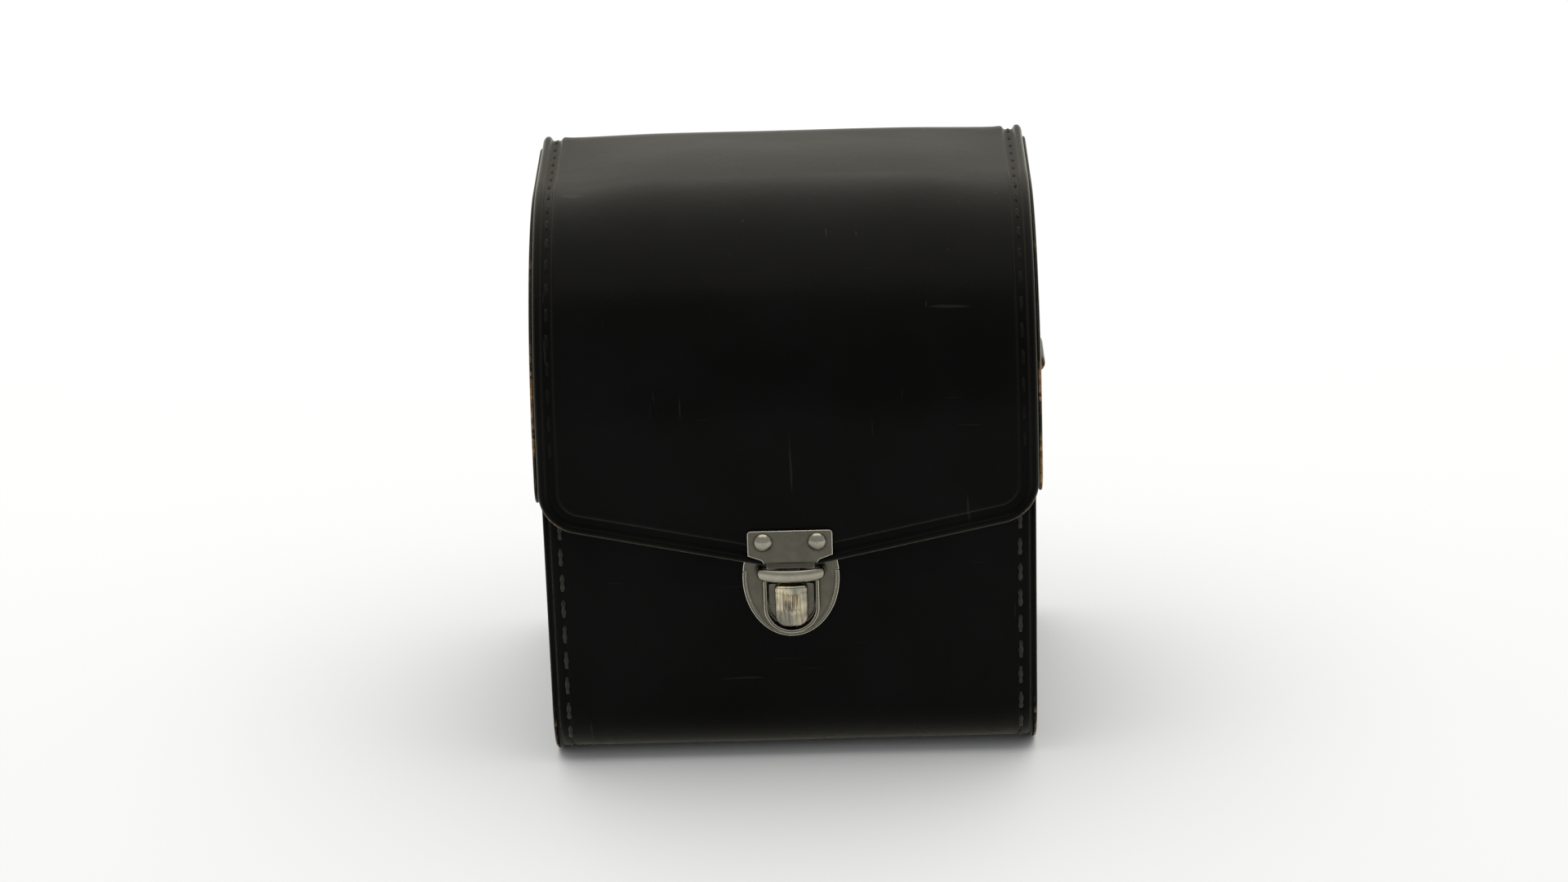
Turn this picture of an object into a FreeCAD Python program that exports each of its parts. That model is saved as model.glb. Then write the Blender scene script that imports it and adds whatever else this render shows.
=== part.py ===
import FreeCAD, Part
import math
import os
import re
import Sketcher

# Camera case of stiff black leather: a lower body and a hinged hood lid, closed by a nickel catch.
# Millimetres. X runs across the front, Y from the front to the back, Z up.
# The origin is on the floor under the middle of the body.

Vector = FreeCAD.Vector
doc = FreeCAD.newDocument("camera_case")

# Driving dimensions, one per row: alias, value, meaning
SIZES = [
    ("body_depth", 100, "leather wrap, outside front to outside back"),
    ("body_width", 114.4, "across the side panels at the height of the flap corners"),
    ("side_lean", 0.45, "degrees that each side panel leans out towards the top"),
    ("front_height", 76, "top of the body's front wall"),
    ("hinge_height", 97, "height of the lid's fold"),
    ("case_height", 130, "top of the lid"),
    ("wrap_leather", 2.4, "thickness of the front, bottom and back strip"),
    ("side_leather", 1.6, "thickness of the body's side panels"),
    ("bottom_radius", 14, "outside radius where the wrap turns under"),
    ("rim_drop", 0.9, "how far the side rims stand below the wrap"),
    ("rim_round", 1.3, "rounding of the side rims"),
    ("flange_width", 8, "turned-in border of a side panel"),
    ("seam_gap", 0.1, "gap between leathers that lie on each other"),
    ("lining_cloth", 0.6, "thickness of the velvet lining"),
    ("sole_thickness", 1.5, "stiffening board in the bottom"),
    ("lid_side_gap", 0.5, "lid's side walls outside the body's sides, at the corners' height"),
    ("flap_leather", 2.4, "thickness of the lid's top and front"),
    ("lid_side_leather", 1.0, "thickness of the lid's side walls"),
    ("flap_clearance", 0.5, "free space between the lid's flange and the body"),
    ("front_arch_height", 82, "height where the lid's front starts to arch back"),
    ("lid_back_wall", 13, "lid's upright back above the fold"),
    ("lid_lining_rise", 6, "lid lining's front edge above the catch"),
    ("corner_height", 61, "flap's lower corners"),
    ("flap_drop", 12, "middle point of the flap's lower edge below its corners"),
    ("flap_corner_radius", 10, "rounding of the flap's lower corners"),
    ("lid_side_inset", 1.0, "lid side walls below the lid's outer face"),
    ("lid_side_round", 0.8, "rounding of the lid side's turned edge"),
    ("fold_gap", 0.5, "each wall's distance from the fold's height"),
    ("bead_width", 2.0, "raised border of the flap"),
    ("channel_width", 2.4, "pressed channel inside the border"),
    ("channel_depth", 0.7, "depth of that channel"),
    ("stitch_pitch", 6.4, "one stitch to the next"),
    ("stitch_length", 4.6, "visible length of a stitch"),
    ("thread_size", 0.7, "thickness of the thread"),
    ("stitch_inset", 2.6, "seam's distance from the leather's cut edge"),
    ("groove_width", 1.8, "groove under the bottom stitches"),
    ("groove_depth", 0.2, "depth of that groove"),
    ("hinge_strip_width", 96, "leather strip over the fold"),
    ("hinge_strip_reach", 12, "strip's length on each side of the fold"),
    ("hinge_leather", 1.4, "thickness of that strip"),
    ("fold_radius", 1.1, "rolled edge of the strip on the hinge axis"),
    ("fold_clearance", 0.3, "between the folded halves of the strip"),
    ("bond_gap", 0.02, "between pieces that are glued or soldered together"),
    ("plate_width", 22.4, "catch plate on the body"),
    ("plate_drop", 14.5, "catch plate from its widest line down to its lowest point"),
    ("plate_middle_rise", -2.5, "catch plate's widest line above the flap's point, negative below it"),
    ("plate_top_rise", 4, "catch plate's upper edge above the flap's point"),
    ("plate_thickness", 0.8, "thickness of the catch plate"),
    ("plate_rim", 0.5, "rolled rim above the catch plate"),
    ("plate_rim_width", 0.7, "width of that rim"),
    ("housing_width", 12.8, "U-shaped guide of the thumb slide"),
    ("housing_gap", 0.2, "gap between the bar and the guide's open end"),
    ("housing_length", 12.9, "guide from its open to its closed end"),
    ("housing_wall", 0.7, "thickness of the guide's wall"),
    ("housing_floor", 0.5, "thickness of the guide's floor"),
    ("housing_rise", 3.2, "guide's height over the catch plate"),
    ("keeper_width", 16, "bar that the tongue is tucked behind"),
    ("keeper_drop", 2.2, "bar's lower edge below the flap's point"),
    ("keeper_height", 3.0, "height of that bar"),
    ("keeper_side", 3.6, "straight return at each end of the bar"),
    ("keeper_bow", 2.2, "forward bow of the bar"),
    ("keeper_thickness", 1.0, "thickness of the bar"),
    ("hasp_width", 19.6, "metal plate on the flap"),
    ("hasp_rise", 10.2, "that plate's upper edge above the flap's point"),
    ("shoulder_drop", 6.0, "where its side edges turn in, below its upper edge"),
    ("hasp_thickness", 0.9, "thickness of that plate"),
    ("hasp_round", 0.8, "rounding of its upper corners"),
    ("tongue_width", 11.6, "tongue below the plate"),
    ("tongue_bend_drop", 8, "where the tongue turns inwards, below that edge"),
    ("tongue_reach", 0.6, "tongue's tip below the bar"),
    ("tongue_step", 2.0, "how far the tongue steps back"),
    ("window_half", 1.8, "half the width of the tongue's window"),
    ("window_height", 2, "height of that window"),
    ("tooth_width", 3, "spring leaf's tooth in that window"),
    ("rivet_spacing", 12.5, "between the two rivets on the plate"),
    ("rivet_drop", 2.8, "those rivets below the plate's upper edge"),
    ("rivet_head", 2.25, "radius of a rivet head"),
    ("rivet_dome", 1.3, "height of a rivet head"),
    ("rivet_shank", 1.1, "radius of a rivet shank"),
    ("rivet_fit", 0.05, "gap round a rivet shank"),
    ("rivet_tail", 1.9, "radius of a rivet's set end"),
    ("rivet_set", 0.4, "thickness of that end"),
    ("washer_thickness", 0.5, "thickness of backing plates and washers"),
    ("backing_reach", 2.8, "backing plates beyond the middle of their rivets"),
    ("button_width", 7.6, "thumb slide"),
    ("button_gap", 0.3, "thumb slide's upper edge below the guide's open end"),
    ("button_length", 10.5, "thumb slide from its upper to its lower edge"),
    ("button_depth", 3.0, "thumb slide's thickness at the thumb rest"),
    ("button_toe", 1.6, "thumb rest's lower edge set back from its face"),
    ("button_lip", 0.6, "height of the rounded lip at the thumb rest's top"),
    ("button_swell", 4, "height over which the thumb rest swells from its lower edge"),
    ("button_round", 1.2, "rounding of the thumb rest's upright edges"),
    ("rib_pitch", 0.85, "one rib of the thumb rest to the next"),
    ("rib_radius", 0.26, "radius of those ribs"),
    ("rib_length", 5, "length of those ribs"),
    ("guide_plate_thickness", 0.9, "thickness of the slide's guide plate"),
    ("slide_travel", 2.0, "downward travel of the thumb slide"),
    ("slide_fit", 0.3, "gap between the slide's guide plate and the wall"),
    ("slide_play", 0.02, "gap between the spring leaf's foot and the guide's floor"),
    ("spring_radius", 1.1, "coil spring under the slide, to the wire's middle"),
    ("spring_wire", 0.35, "thickness of the spring wire"),
    ("spring_room", 3.9, "height that the pressed spring keeps under the slide"),
    ("tab_width", 16, "strap tab on each side"),
    ("tab_leather", 0.8, "thickness of the tab's leather"),
    ("tab_place", 22, "tab's distance behind the middle"),
    ("tab_loop_height", 76, "height of the ring's bar"),
    ("tab_loop_radius", 2.0, "outside radius of the tab's loop"),
    ("tab_rivet_height", 49, "height of the tab's rivet"),
    ("tab_rivet_head", 2.8, "radius of that rivet's head"),
    ("tab_rivet_dome", 1.4, "height of that rivet's head"),
    ("tab_washer_radius", 4, "washer on the inside of the side"),
    ("tab_end", 6, "leather below the rivet"),
    ("ring_wire", 1.8, "thickness of the strap ring's wire"),
    ("ring_drop", 15, "strap ring from its bar to its lowest line"),
    ("ring_bar", 19, "length of the ring's bar between its legs"),
    ("ring_fit", 0.3, "gap between the ring's bar and its loop"),
    ("screw_place", 15, "camera screw's distance behind the middle"),
    ("screw_radius", 3.175, "camera screw, quarter inch"),
    ("screw_reach", 5, "thread above its clip"),
    ("knob_radius", 11, "knurled knob of the camera screw"),
    ("knob_height", 3.2, "thickness of the knob"),
    ("knob_lift", 0.3, "knob's underside above the wrap's underside"),
    ("knob_gap", 1.0, "space round and above the knob"),
    ("knurl_radius", 0.6, "radius of a notch in the knob's rim"),
    ("knurl_count", 36, "notches round the knob"),
    ("screw_plate_size", 40, "metal plate under the lining"),
    ("screw_plate_thickness", 1.0, "thickness of that plate"),
    ("screw_fit", 0.15, "gap round the screw in its plate"),
    ("clip_radius", 5, "retaining clip on the screw"),
    ("clip_thickness", 0.8, "thickness of that clip"),
    ("clip_groove", 2.5, "radius of the screw in the clip's groove"),
]

# Derived places, one per row: alias, formula
PLACES = [
    ("front_face", "-body_depth / 2"),
    ("back_face", "body_depth / 2"),
    ("front_inside", "front_face + wrap_leather"),
    ("back_inside", "back_face - wrap_leather"),
    ("wrap_inside_floor", "rim_drop + wrap_leather"),
    ("body_back_top", "hinge_height - fold_gap"),
    ("lean_rise", "tan(side_lean * 1deg)"),
    ("base_half", "body_width / 2 - corner_height * lean_rise"),
    ("wrap_base_half", "base_half - side_leather - seam_gap"),
    ("board_top", "wrap_inside_floor + sole_thickness"),
    ("screw_plate_top", "board_top + screw_plate_thickness"),
    ("lining_floor", "screw_plate_top + seam_gap"),
    ("knob_bottom", "rim_drop + knob_lift"),
    ("knob_top", "knob_bottom + knob_height"),
    ("clip_bottom", "screw_plate_top + seam_gap"),
    ("clip_top", "clip_bottom + clip_thickness"),
    ("seam_half", "wrap_base_half - stitch_inset"),
    ("flap_half", "body_width / 2 + lid_side_gap"),
    ("flap_width", "flap_half * 2"),
    ("front_dome_radius", "case_height - front_arch_height"),
    ("back_dome_radius", "case_height - hinge_height - lid_back_wall"),
    ("point_height", "corner_height - flap_drop"),
    ("flap_inside", "front_face - flap_clearance - lid_side_leather"),
    ("flap_face", "flap_inside - flap_leather"),
    ("lid_back_bottom", "hinge_height + fold_gap"),
    ("edge_slope", "(corner_height - point_height) / flap_half"),
    ("lid_half", "flap_half + seam_gap + lid_side_leather"),
    ("hinge_axis_y", "back_face + hinge_leather + fold_clearance"),
    ("plate_back", "front_face"),
    ("plate_middle", "point_height + plate_middle_rise"),
    ("plate_top", "point_height + plate_top_rise"),
    ("keeper_bottom", "point_height - keeper_drop"),
    ("housing_top", "keeper_bottom - housing_gap"),
    ("housing_bottom", "housing_top - housing_length"),
    ("hasp_top", "point_height + hasp_rise"),
    ("hasp_shoulder", "hasp_top - shoulder_drop"),
    ("rivet_height", "hasp_top - rivet_drop"),
    ("tongue_bend_height", "hasp_top - tongue_bend_drop"),
    ("tongue_tip", "keeper_bottom - tongue_reach"),
    ("button_top", "housing_top - button_gap"),
    ("button_bottom", "button_top - button_length"),
    ("plate_face", "front_face - plate_thickness"),
    ("housing_face", "plate_face - housing_rise"),
    ("guide_floor", "plate_face - housing_floor"),
    ("guide_half", "housing_width / 2 - housing_wall"),
    ("hasp_face", "flap_face - hasp_thickness"),
    ("tongue_face", "hasp_face + tongue_step"),
    ("tooth_height", "tongue_tip + window_height"),
    ("slide_back", "housing_face - slide_fit / 2"),
    ("slide_face", "slide_back - button_depth"),
    ("slide_top", "tongue_tip - slide_fit * 2"),
    ("stem_bottom", "housing_bottom + housing_wall + spring_room + slide_travel"),
    ("stem_half", "button_width / 2 - button_round"),
    ("spring_axis", "guide_floor - spring_radius - spring_wire / 2 - seam_gap"),
    ("spring_bottom", "housing_bottom + housing_wall + spring_wire / 2 + seam_gap"),
    ("spring_height", "stem_bottom - slide_fit * 2 - spring_bottom - spring_wire / 2 + seam_gap"),
    ("tab_loop_out", "tab_leather * 2 + ring_wire / 2 + seam_gap * 2"),
    ("tab_rivet_length", "tab_leather * 2 + side_leather + lining_cloth + washer_thickness + rivet_fit * 6"),
]

sheet = doc.addObject("Spreadsheet::Sheet", "Sizes")
places = doc.addObject("Spreadsheet::Sheet", "Places")
OWNER = {}


def full(formula):
    """Write a formula's words as cells of the sheet that holds each."""
    def cell(match):
        word = match.group(0)
        return OWNER[word] + "." + word if word in OWNER else word
    return re.sub(r"[a-z]+(?:_[a-z]+)+", cell, formula)


for row, (alias, number, meaning) in enumerate(SIZES, 1):
    sheet.set("A%d" % row, alias)
    sheet.set("B%d" % row, str(number))
    sheet.set("C%d" % row, meaning)
    sheet.setAlias("B%d" % row, alias)
    OWNER[alias] = "Sizes"
doc.recompute()
for row, (alias, formula) in enumerate(PLACES, 1):
    places.set("A%d" % row, alias)
    places.set("B%d" % row, "=" + full(formula).replace("Places.", ""))
    places.setAlias("B%d" % row, alias)
    OWNER[alias] = "Places"
doc.recompute()


def size(formula):
    """Give a formula's number, in millimetres or degrees."""
    result = sheet.evalExpression(full(str(formula)))
    return float(getattr(result, "Value", result))


def bind(thing, prop, formula, unit="mm"):
    """Tie a property of an object to the sheets."""
    thing.setExpression(prop, "(%s) * 1%s" % (full(str(formula)), unit))


# Sketches and features

def new_body(label):
    body = doc.addObject("PartDesign::Body", label)
    body.Label = label
    return body


def new_sketch(body, plane, offset="0"):
    """Start a sketch on an origin plane, moved along the plane's normal."""
    sketch = body.newObject("Sketcher::SketchObject", body.Name + "_sketch")
    origin_plane = [item for item in body.Origin.OriginFeatures if item.Role == plane][0]
    sketch.AttachmentSupport = (origin_plane, [""])
    sketch.MapMode = "FlatFace"
    if offset != "0":
        bind(sketch, "AttachmentOffset.Base.z", offset)
    return sketch


def pin_point(sketch, geometry, end, across, up):
    """Hold a point at two formulas from the sketch's origin."""
    for kind, formula in (("DistanceX", across), ("DistanceY", up)):
        index = sketch.addConstraint(Sketcher.Constraint(kind, -1, 1, geometry, end, size(formula)))
        sketch.setExpression("Constraints[%d]" % index, "(%s) * 1mm" % full(str(formula)))


def add_outline(sketch, corners):
    """Draw a closed outline; each corner is (across, up) or (across, up, radius)."""
    count = len(corners)
    spots = [Vector(size(corner[0]), size(corner[1]), 0) for corner in corners]
    arrive = list(spots)
    leave = list(spots)
    middles = {}
    centres = {}
    for i, corner in enumerate(corners):
        if len(corner) < 3:
            continue
        back = (spots[i - 1] - spots[i]).normalize()
        ahead = (spots[(i + 1) % count] - spots[i]).normalize()
        half = back.getAngle(ahead) / 2
        radius = size(corner[2])
        bisector = (back + ahead).normalize()
        arrive[i] = spots[i] + back * (radius / math.tan(half))
        leave[i] = spots[i] + ahead * (radius / math.tan(half))
        centres[i] = spots[i] + bisector * (radius / math.sin(half))
        middles[i] = centres[i] - bisector * radius
    lines = []
    for i in range(count):
        segment = Part.LineSegment(leave[i], arrive[(i + 1) % count])
        lines.append(sketch.addGeometry(segment))
    for i, corner in enumerate(corners):
        before = lines[i - 1]
        after = lines[i]
        if i not in centres:
            sketch.addConstraint(Sketcher.Constraint("Coincident", before, 2, after, 1))
            pin_point(sketch, after, 1, corner[0], corner[1])
            continue
        arc = sketch.addGeometry(Part.Arc(arrive[i], middles[i], leave[i]))
        turn = (arrive[i] - centres[i]).cross(leave[i] - centres[i]).z
        arc_in, arc_out = (1, 2) if turn > 0 else (2, 1)
        sketch.addConstraint(Sketcher.Constraint("Tangent", before, 2, arc, arc_in))
        sketch.addConstraint(Sketcher.Constraint("Tangent", after, 1, arc, arc_out))
        index = sketch.addConstraint(Sketcher.Constraint("Radius", arc, size(corner[2])))
        sketch.setExpression("Constraints[%d]" % index, "(%s) * 1mm" % full(str(corner[2])))
        mark = sketch.addGeometry(Part.Point(spots[i]), True)
        sketch.addConstraint(Sketcher.Constraint("PointOnObject", mark, 1, before))
        sketch.addConstraint(Sketcher.Constraint("PointOnObject", mark, 1, after))
        pin_point(sketch, mark, 1, corner[0], corner[1])
    return sketch


def add_circle(sketch, across, up, radius):
    centre = Vector(size(across), size(up), 0)
    circle = sketch.addGeometry(Part.Circle(centre, Vector(0, 0, 1), size(radius)))
    index = sketch.addConstraint(Sketcher.Constraint("Radius", circle, size(radius)))
    sketch.setExpression("Constraints[%d]" % index, "(%s) * 1mm" % full(str(radius)))
    pin_point(sketch, circle, 3, across, up)
    return sketch


def add_pad(body, sketch, length, both=False, back=False):
    pad = body.newObject("PartDesign::Pad", body.Name + "_pad")
    pad.Profile = sketch
    bind(pad, "Length", length)
    pad.Midplane = both
    pad.Reversed = back
    return pad


def add_pocket(body, sketch, length, both=False, back=False):
    """Cut a sketch's shape; a positive length cuts against the plane's normal."""
    before = volume_of(body)
    pocket = body.newObject("PartDesign::Pocket", body.Name + "_pocket")
    pocket.Profile = sketch
    bind(pocket, "Length", length)
    pocket.Midplane = both
    pocket.Reversed = back
    after = volume_of(body)
    if not after < before - 1e-6:
        raise RuntimeError("%s: a pocket cut nothing" % body.Label)
    return pocket


def volume_of(body):
    doc.recompute()
    return body.Shape.Volume


def edges_where(body, test):
    """Name the edges of a body's present shape that pass a test."""
    doc.recompute()
    tip = body.Tip
    return tip, ["Edge%d" % n for n, edge in enumerate(tip.Shape.Edges, 1) if test(edge)]


def add_fillet(body, radius, test):
    tip, names = edges_where(body, test)
    fillet = body.newObject("PartDesign::Fillet", body.Name + "_fillet")
    fillet.Base = (tip, names)
    bind(fillet, "Radius", radius)
    return fillet


def near(number, other, slack=1e-3):
    return abs(number - other) < slack


# Outlines that several pieces share, as (Y, Z) corners

def wrap_corners(inset, front_top, back_top, floor, radius):
    """The open-topped side outline of the body, moved inwards by inset."""
    return [
        ("front_face + %s" % inset, front_top),
        ("front_face + %s" % inset, floor, radius),
        ("back_face - (%s)" % inset, floor, radius),
        ("back_face - (%s)" % inset, back_top),
    ]


def strip_corners(outer, inner):
    """Close an outer and an inner open outline into one strip."""
    return outer + inner[::-1]


def lid_corners(inset, front_bottom, back_bottom):
    """The open-bottomed side outline of the lid, moved inwards by inset."""
    return [
        ("flap_face + %s" % inset, front_bottom),
        ("flap_face + %s" % inset, "case_height - (%s)" % inset, "front_dome_radius - (%s)" % inset),
        ("back_face - (%s)" % inset, "case_height - (%s)" % inset, "back_dome_radius - (%s)" % inset),
        ("back_face - (%s)" % inset, back_bottom),
    ]


# Lower body

def make_body_wrap():
    body = new_body("body_wrap")
    outer = wrap_corners("0", "front_height", "body_back_top", "rim_drop", "bottom_radius")
    inner = wrap_corners("wrap_leather", "front_height", "body_back_top", "wrap_inside_floor",
                         "bottom_radius - wrap_leather")
    sketch = add_outline(new_sketch(body, "YZ_Plane"), strip_corners(outer, inner))
    add_pad(body, sketch, "body_width * 1.2", both=True)
    top = "hinge_height + 2"
    for hand in (1, -1):
        edges = new_sketch(body, "XZ_Plane")
        add_outline(edges, [
            ("%d * (wrap_base_half - lean_rise)" % hand, "-1"),
            ("%d * body_width" % hand, "-1"),
            ("%d * body_width" % hand, top),
            ("%d * (wrap_base_half + lean_rise * (%s))" % (hand, top), top),
        ])
        add_pocket(body, edges, "body_depth * 2", both=True)
    hole = add_circle(new_sketch(body, "XY_Plane", "-1"), "0", "screw_place", "knob_radius + knob_gap")
    add_pocket(body, hole, "wrap_inside_floor + 2", back=True)
    for hand in (1, -1):
        groove = new_sketch(body, "XY_Plane", "rim_drop")
        end = "body_depth / 2 - bottom_radius"
        add_outline(groove, [
            ("%d * seam_half - groove_width / 2" % hand, "-(%s)" % end),
            ("%d * seam_half + groove_width / 2" % hand, "-(%s)" % end),
            ("%d * seam_half + groove_width / 2" % hand, end),
            ("%d * seam_half - groove_width / 2" % hand, end),
        ])
        add_pocket(body, groove, "groove_depth", back=True)
    add_stud_holes(body, "wrap_leather")
    return body


def add_stud_holes(body, depth):
    """Pierce the front of a piece for the catch plate's two studs."""
    studs = new_sketch(body, "XZ_Plane", "-front_face + 1")
    for hand in (1, -1):
        add_circle(studs, "%d * plate_width / 4" % hand, "plate_middle", "rivet_shank + rivet_fit")
    add_pocket(body, studs, "2 + " + depth)


def panel_frame(body, hand):
    """Stand a piece of the side on the leaning side panel's outer face."""
    bind(body, "Placement.Base.x", "%d * base_half" % hand)
    body.Placement.Rotation = FreeCAD.Rotation(Vector(0, 1, 0), 1)
    body.setExpression("Placement.Rotation.Angle", full("%d * side_lean * 1deg" % hand))


def make_side_panel(name, hand):
    body = new_body(name)
    outline = [
        ("front_face", "front_height"),
        ("front_face", "0", "bottom_radius + rim_drop"),
        ("back_face", "0", "bottom_radius + rim_drop"),
        ("back_face", "body_back_top"),
    ]
    plate = add_outline(new_sketch(body, "YZ_Plane"), outline)
    add_pad(body, plate, "side_leather", back=hand > 0)
    inset = "wrap_leather + seam_gap"
    turn = "wrap_leather + seam_gap + side_leather"
    outer = wrap_corners(inset, "front_height - side_leather", "body_back_top - side_leather",
                         "wrap_inside_floor + seam_gap", "bottom_radius - wrap_leather - seam_gap")
    inner = wrap_corners(turn, "front_height - side_leather", "body_back_top - side_leather",
                         "wrap_inside_floor + seam_gap + side_leather",
                         "bottom_radius - wrap_leather - seam_gap - side_leather")
    flange = new_sketch(body, "YZ_Plane")
    add_outline(flange, strip_corners(outer, inner))
    add_pad(body, flange, "side_leather + flange_width", back=hand > 0)
    add_fillet(body, "rim_round", lambda edge: near(edge.BoundBox.XMin, 0)
               and near(edge.BoundBox.XMax, 0))
    add_tab_hole(body, hand)
    panel_frame(body, hand)
    return body


def add_tab_hole(body, hand):
    """Pierce a piece of the side for the strap tab's rivet."""
    hole = new_sketch(body, "YZ_Plane", "%d * (tab_leather * 2 + 1)" % hand)
    add_circle(hole, "tab_place", "tab_rivet_height", "rivet_shank + rivet_fit")
    add_pocket(body, hole, "tab_leather * 2 + side_leather + lining_cloth + 2", back=hand < 0)


def make_side_lining(name, hand):
    body = new_body(name)
    inset = "wrap_leather + side_leather + seam_gap * 2"
    floor = "wrap_inside_floor + side_leather + seam_gap * 2"
    corners = wrap_corners(inset, "front_height - lining_cloth", "body_back_top - lining_cloth", floor,
                           "bottom_radius - wrap_leather - side_leather - seam_gap * 2")
    sketch = new_sketch(body, "YZ_Plane", "%d * (-side_leather - seam_gap / 2)" % hand)
    add_outline(sketch, corners)
    add_pad(body, sketch, "lining_cloth", back=hand > 0)
    add_tab_hole(body, hand)
    panel_frame(body, hand)
    return body


def make_wrap_lining():
    body = new_body("body_lining")
    radius = "bottom_radius - wrap_leather - seam_gap - 2"
    inset = "wrap_leather + seam_gap"
    outer = wrap_corners(inset, "front_height - 1", "body_back_top - 1", "lining_floor", radius)
    inner = wrap_corners(inset + " + lining_cloth", "front_height - 1", "body_back_top - 1",
                         "lining_floor + lining_cloth", radius + " - lining_cloth")
    sketch = add_outline(new_sketch(body, "YZ_Plane"), strip_corners(outer, inner))
    add_pad(body, sketch, "(wrap_base_half - flange_width - seam_gap * 4) * 2", both=True)
    hole = add_circle(new_sketch(body, "XY_Plane"), "0", "screw_place", "clip_radius + knob_gap")
    add_pocket(body, hole, "lining_floor + 3", back=True)
    add_stud_holes(body, "lining_cloth + wrap_leather")
    return body


def make_sole_board():
    body = new_body("sole_board")
    half_depth = "(body_depth / 2 - bottom_radius - seam_gap)"
    half_width = "(wrap_base_half - flange_width - seam_gap * 4)"
    sketch = new_sketch(body, "XY_Plane", "wrap_inside_floor")
    add_outline(sketch, [
        ("-" + half_width, "-" + half_depth),
        (half_width, "-" + half_depth),
        (half_width, half_depth),
        ("-" + half_width, half_depth),
    ])
    add_circle(sketch, "0", "screw_place", "knob_radius + knob_gap")
    add_pad(body, sketch, "sole_thickness")
    return body


def make_screw_plate():
    body = new_body("screw_plate")
    sketch = new_sketch(body, "XY_Plane", "board_top")
    half = "(screw_plate_size / 2)"
    add_outline(sketch, [
        ("-" + half, "screw_place - " + half, "3"),
        (half, "screw_place - " + half, "3"),
        (half, "screw_place + " + half, "3"),
        ("-" + half, "screw_place + " + half, "3"),
    ])
    add_circle(sketch, "0", "screw_place", "screw_radius + screw_fit")
    add_pad(body, sketch, "screw_plate_thickness")
    return body


def make_retaining_screw():
    """Knurled knob, stud and thread of the camera screw, turned from one piece."""
    body = new_body("retaining_screw")
    sketch = new_sketch(body, "XZ_Plane", "-screw_place")
    tip = "clip_top + bond_gap + screw_reach"
    add_outline(sketch, [
        ("0", "knob_bottom"),
        ("knob_radius", "knob_bottom", "knurl_radius"),
        ("knob_radius", "knob_top", "knurl_radius / 2"),
        ("screw_radius", "knob_top"),
        ("screw_radius", "clip_bottom - bond_gap"),
        ("clip_groove", "clip_bottom - bond_gap"),
        ("clip_groove", "clip_top + bond_gap"),
        ("screw_radius", "clip_top + bond_gap"),
        ("screw_radius", tip, "screw_radius / 6"),
        ("0", tip),
    ])
    turned = body.newObject("PartDesign::Revolution", "screw_turned")
    turned.Profile = sketch
    turned.ReferenceAxis = (sketch, ["V_Axis"])
    turned.Angle = 360
    notch = add_circle(new_sketch(body, "XY_Plane"), "knob_radius + knurl_radius / 2", "screw_place",
                       "knurl_radius")
    knurl = add_pocket(body, notch, "knob_top + 1", back=True)
    ring = body.newObject("PartDesign::PolarPattern", "screw_knurl")
    ring.Originals = [knurl]
    ring.Axis = (sketch, ["V_Axis"])
    ring.Angle = 360
    ring.Occurrences = int(size("knurl_count"))
    body.Tip = ring
    return body


def make_screw_clip():
    body = new_body("screw_clip")
    sketch = new_sketch(body, "XY_Plane", "clip_bottom")
    add_circle(sketch, "0", "screw_place", "clip_radius")
    add_circle(sketch, "0", "screw_place", "clip_groove + bond_gap")
    add_pad(body, sketch, "clip_thickness")
    return body


# Catch

def make_catch_plate():
    """Half-oval plate with a rolled rim and two studs through the leather."""
    body = new_body("catch_plate")
    plate = add_oval(new_sketch(body, "XZ_Plane", "-plate_back"), "plate_width / 2", "plate_drop")
    add_pad(body, plate, "plate_thickness")
    rim = new_sketch(body, "XZ_Plane", "-plate_face")
    add_oval(rim, "plate_width / 2", "plate_drop")
    add_oval(rim, "plate_width / 2 - plate_rim_width", "plate_drop - plate_rim_width")
    add_pad(body, rim, "plate_rim")
    trim = new_sketch(body, "XZ_Plane", "-plate_face + plate_rim")
    add_outline(trim, [
        ("-plate_width", "plate_top"),
        ("plate_width", "plate_top"),
        ("plate_width", "plate_middle + plate_drop * 2"),
        ("-plate_width", "plate_middle + plate_drop * 2"),
    ])
    add_pocket(body, trim, "plate_rim + plate_thickness + 1")
    behind = new_sketch(body, "XZ_Plane", "-plate_face + plate_rim")
    add_outline(behind, [
        ("-plate_width", "point_height - 1"),
        ("plate_width", "point_height - 1"),
        ("plate_width", "plate_middle + plate_drop * 2"),
        ("-plate_width", "plate_middle + plate_drop * 2"),
    ])
    add_pocket(body, behind, "plate_rim")
    studs = new_sketch(body, "XZ_Plane", "-plate_back")
    for hand in (1, -1):
        add_circle(studs, "%d * plate_width / 4" % hand, "plate_middle", "rivet_shank")
    add_pad(body, studs, "wrap_leather + seam_gap + washer_thickness + 0.3", back=True)
    return body


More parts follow.
